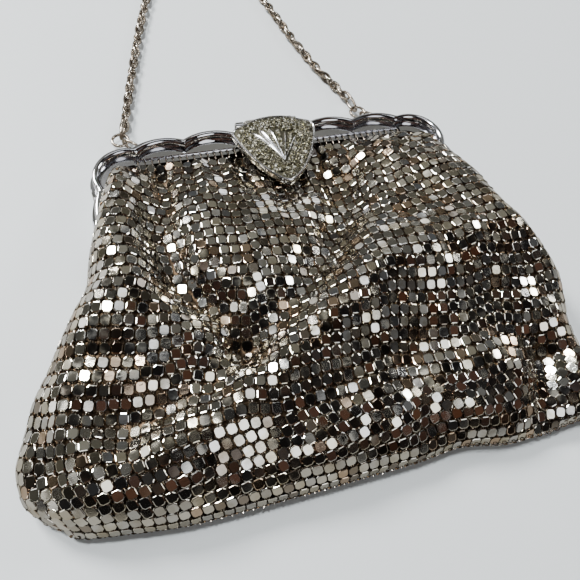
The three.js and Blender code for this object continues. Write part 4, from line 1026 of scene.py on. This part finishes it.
def buildRope():
    # an oval link at each step of the route, each turned a little further about it than the last
    path, length = smoothPath([(x, y, handle["level"]) for x, y in handle["route"]], handle["step"])
    print("chain length along its route, mm:", round(length, 1))
    tangent = unit(np.gradient(path, axis=0))
    side = unit(np.cross(tangent, (0, 0, 1)))
    turn = np.radians(handle["turn"] * np.arange(len(path)) + 90 * (np.arange(len(path)) % 2))[:, None]
    across = side * np.cos(turn) + np.cross(side, tangent) * np.sin(turn)
    lean = unit(tangent + handle["lean"] * np.cross(across, tangent))
    shape = Shape()
    addOvals(shape, path, lean * (handle["linkLength"] - handle["wire"]) / 2,
             across * (handle["linkWidth"] - handle["wire"]) / 2, handle["wire"], 14, 6,
             tone=rng.uniform(0, 1, len(path)))
    return shape, path


rope, ropePath = buildRope()
swing = math.radians(handle["swing"])
swingWay = np.array([-math.sin(swing), math.cos(swing), 0])
upward = np.array([0, 0, 1.0])
hook = handle["ringWire"] + handle["hookPlay"] * jaw["gap"]
for side, end, name in ((-1, ropePath[0], "left"), (1, ropePath[-1], "right")):
    hole = np.array([side * fittings["eyeletX"], fittings["eyeletY"], fittings["eyeletLevel"]])
    link = hole + swingWay * (handle["eyeletLink"] / 2 - handle["eyeletSlack"])
    ring = link + swingWay * ((handle["eyeletLink"] + handle["ring"]) / 2 - hook)
    away = unit((end - ring) * (1, 1, 0))
    start = ring + away * (handle["ring"] / 2 - hook)
    reach = np.linalg.norm((end - start)[:2]) + handle["ringWire"]
    addOvals(rope, start + away * reach / 2, away * reach / 2, upward * handle["eyeletLinkHeight"] / 2,
             handle["ringWire"], 28, 8, tone=0.5)
    for label, centre, reachA, reachB in (
            ("link_", link, swingWay * handle["eyeletLink"] / 2, upward * handle["eyeletLinkHeight"] / 2),
            ("jump_ring_", ring, away * handle["ring"] / 2, np.cross(upward, away) * handle["ring"] / 2)):
        piece = Shape()
        addOvals(piece, centre, reachA, reachB, handle["ringWire"], 32, 10)
        makePiece(label + name + "_wire", piece, [brownMetal], "purse", [label + name], 60)
makePiece("handle_rope", rope, [brownMetal], "purse", ["handle_chain"], 60)


# Stage, light and camera

# the mirrored colour is painted shade on the floor, which only reflections see
stage = {"reach": 3, "seen": (0.8, 0.835, 0.85), "mirrored": (0.29, 0.282, 0.26), "roughness": 0.55}
floorCorners = np.array([(-1, -1, 0), (1, -1, 0), (1, 1, 0), (-1, 1, 0)]) * stage["reach"]
floor = bpy.data.meshes.new("floor")
floor.from_pydata(floorCorners.tolist(), [], [(0, 1, 2, 3)])
floorPiece = bpy.data.objects.new("floor", floor)
bpy.context.scene.collection.objects.link(floorPiece)
floorMaterial, nodes, links, shader = newMaterial("paleFloor")
shader.inputs["Roughness"].default_value = stage["roughness"]
floor.materials.append(floorMaterial)
# mirrors see a darker floor than the camera does: painted shade, as where the purse shades it
floorRays = nodes.new("ShaderNodeLightPath")
floorMix = nodes.new("ShaderNodeMix")
floorMix.data_type = "RGBA"
for name, shade in (("A", "seen"), ("B", "mirrored")):
    floorMix.inputs[name].default_value = (*stage[shade], 1)
links.new(floorRays.outputs["Is Glossy Ray"], floorMix.inputs["Factor"])
links.new(floorMix.outputs["Result"], shader.inputs["Base Color"])

# the room that the metal mirrors, as colours and masks of the direction
room = {
    "dark": (0.009, 0.008, 0.008), "copper": (0.095, 0.048, 0.033), "wall": (0.09, 0.087, 0.073),
    "haze": (0.1, 0.105, 0.11), "window": (2.2, 2.25, 2.3), "calm": (0.23, 0.228, 0.205),
    "seen": (0.62, 0.65, 0.66), "strength": 1.0,
    # each kind of patch: noise scale, seed, and where its mask starts and ends
    "copperPatches": (2.4, 4.0, 0.55, 0.64), "hazePatches": (2.3, 1.0, 0.55, 0.62),
    "windowPatches": (3.1, 7.5, 0.59, 0.62),
    # each zone: a direction, and where the dot product with it starts and ends
    "far": ((-0.16, 0.86, -0.48), -0.3, 0.1), "openSide": ((-0.16, 0.86, -0.48), -0.6, -0.22),
    "calmZone": ((0.2, 0.66, 0.73), 0.94, 0.985), "doorway": ((0.24, -0.62, 0.745), 0.968, 0.976),
    "hazeLeast": 0.25, "windowLeast": 0.06,  # share of the haze and windows outside the open side
}
world = bpy.data.worlds.new("room")
bpy.context.scene.world = world
world.use_nodes = True
nodes, links = world.node_tree.nodes, world.node_tree.links
place = nodes.new("ShaderNodeTexCoord")


def worldMix(mask, a, b):
    # a where the mask is 0, b where it is 1
    mix = nodes.new("ShaderNodeMix")
    mix.data_type = "RGBA"
    for name, value in (("A", a), ("B", b)):
        if isinstance(value, tuple):
            mix.inputs[name].default_value = (*value, 1)
        else:
            links.new(value, mix.inputs[name])
    links.new(mask, mix.inputs["Factor"])
    return mix.outputs["Result"]


def worldMask(value, low, high):
    # a smooth step from 0 at low to 1 at high
    ramp = nodes.new("ShaderNodeMapRange")
    ramp.interpolation_type = "SMOOTHSTEP"
    ramp.inputs["From Min"].default_value, ramp.inputs["From Max"].default_value = low, high
    links.new(value, ramp.inputs["Value"])
    return ramp.outputs["Result"]


def worldPatches(scale, seed, low, high):
    # soft patches of noise over the directions
    noise = nodes.new("ShaderNodeTexNoise")
    noise.noise_dimensions = "4D"
    noise.inputs["W"].default_value = seed
    noise.inputs["Scale"].default_value = scale
    noise.inputs["Detail"].default_value = 1.5
    links.new(place.outputs["Generated"], noise.inputs["Vector"])
    return worldMask(noise.outputs["Fac"], low, high)


def worldZone(way, low, high):
    # the directions that lie near one way: a step of their dot product with it
    product = nodes.new("ShaderNodeVectorMath")
    product.operation = "DOT_PRODUCT"
    product.inputs[1].default_value = way
    links.new(place.outputs["Generated"], product.inputs[0])
    return worldMask(product.outputs["Value"], low, high)


def worldWhere(mask, zone, least):
    # keeps a share of the mask everywhere and all of it in the zone
    share = nodes.new("ShaderNodeMapRange")
    share.inputs["To Min"].default_value = least
    links.new(zone, share.inputs["Value"])
    both = nodes.new("ShaderNodeMath")
    both.operation = "MULTIPLY"
    links.new(mask, both.inputs[0])
    links.new(share.outputs["Result"], both.inputs[1])
    return both.outputs["Value"]


# bright and low behind the purse, dark with copper patches above it and on the camera's side
openSide = worldZone(*room["openSide"])
color = worldMix(worldPatches(*room["copperPatches"]), room["dark"], room["copper"])
color = worldMix(worldZone(*room["far"]), color, room["wall"])
for shade in ("haze", "window"):
    mask = worldWhere(worldPatches(*room[shade + "Patches"]), openSide, room[shade + "Least"])
    color = worldMix(mask, color, room[shade])
# the flat faces of the frame mirror one calm grey part of the room
color = worldMix(worldZone(*room["calmZone"]), color, room["calm"])
# a bright doorway on the camera's side, which only the steepest tiles of the lower front mirror
color = worldMix(worldZone(*room["doorway"]), color, room["window"])
# a camera that looks past the floor sees a plain pale wall instead of the reflected room
rays = nodes.new("ShaderNodeLightPath")
color = worldMix(rays.outputs["Is Camera Ray"], color, room["seen"])
links.new(color, nodes["Background"].inputs["Color"])
nodes["Background"].inputs["Strength"].default_value = room["strength"]

# each round softbox points at the purse: place, width, power and tint
lamps = {
    "window_light": ((-0.6, 0.8, 0.85), 0.4, 25, (1, 1, 1)),
    "side_light": ((1.1, 0.2, 0.75), 0.35, 5, (0.98, 0.99, 1)),
    "ceiling_light": ((-0.5, 0.25, 1.6), 0.25, 21, (0.95, 0.99, 1)),
}
for name, (position, width, power, tint) in lamps.items():
    lamp = bpy.data.lights.new(name, "AREA")
    lamp.shape, lamp.size, lamp.energy, lamp.color = "DISK", width, power, tint
    piece = bpy.data.objects.new(name, lamp)
    bpy.context.scene.collection.objects.link(piece)
    turned = Vector(position).to_track_quat("Z", "Y").to_matrix().to_4x4()
    piece.matrix_world = Matrix.Translation(position) @ turned

# the photo's own view: the camera's place, its three axes and its lens
view = {"place": (-0.04189, -0.12176, 0.13924), "right": (0.9601, -0.2601, 0.1026),
        "up": (0.1756, 0.8466, 0.5025), "back": (-0.2176, -0.4644, 0.8585), "lens": 37.24,
        "sensor": 36, "nearest": 0.01}
camera = bpy.data.objects.new("camera", bpy.data.cameras.new("camera"))
bpy.context.scene.collection.objects.link(camera)
turned = Matrix([view["right"], view["up"], view["back"]]).transposed().to_4x4()
camera.matrix_world = Matrix.Translation(view["place"]) @ turned
camera.data.lens, camera.data.sensor_width = view["lens"], view["sensor"]
camera.data.clip_start = view["nearest"]
bpy.context.scene.camera = camera
print("stage, room,", len(lamps), "lamps and camera placed")
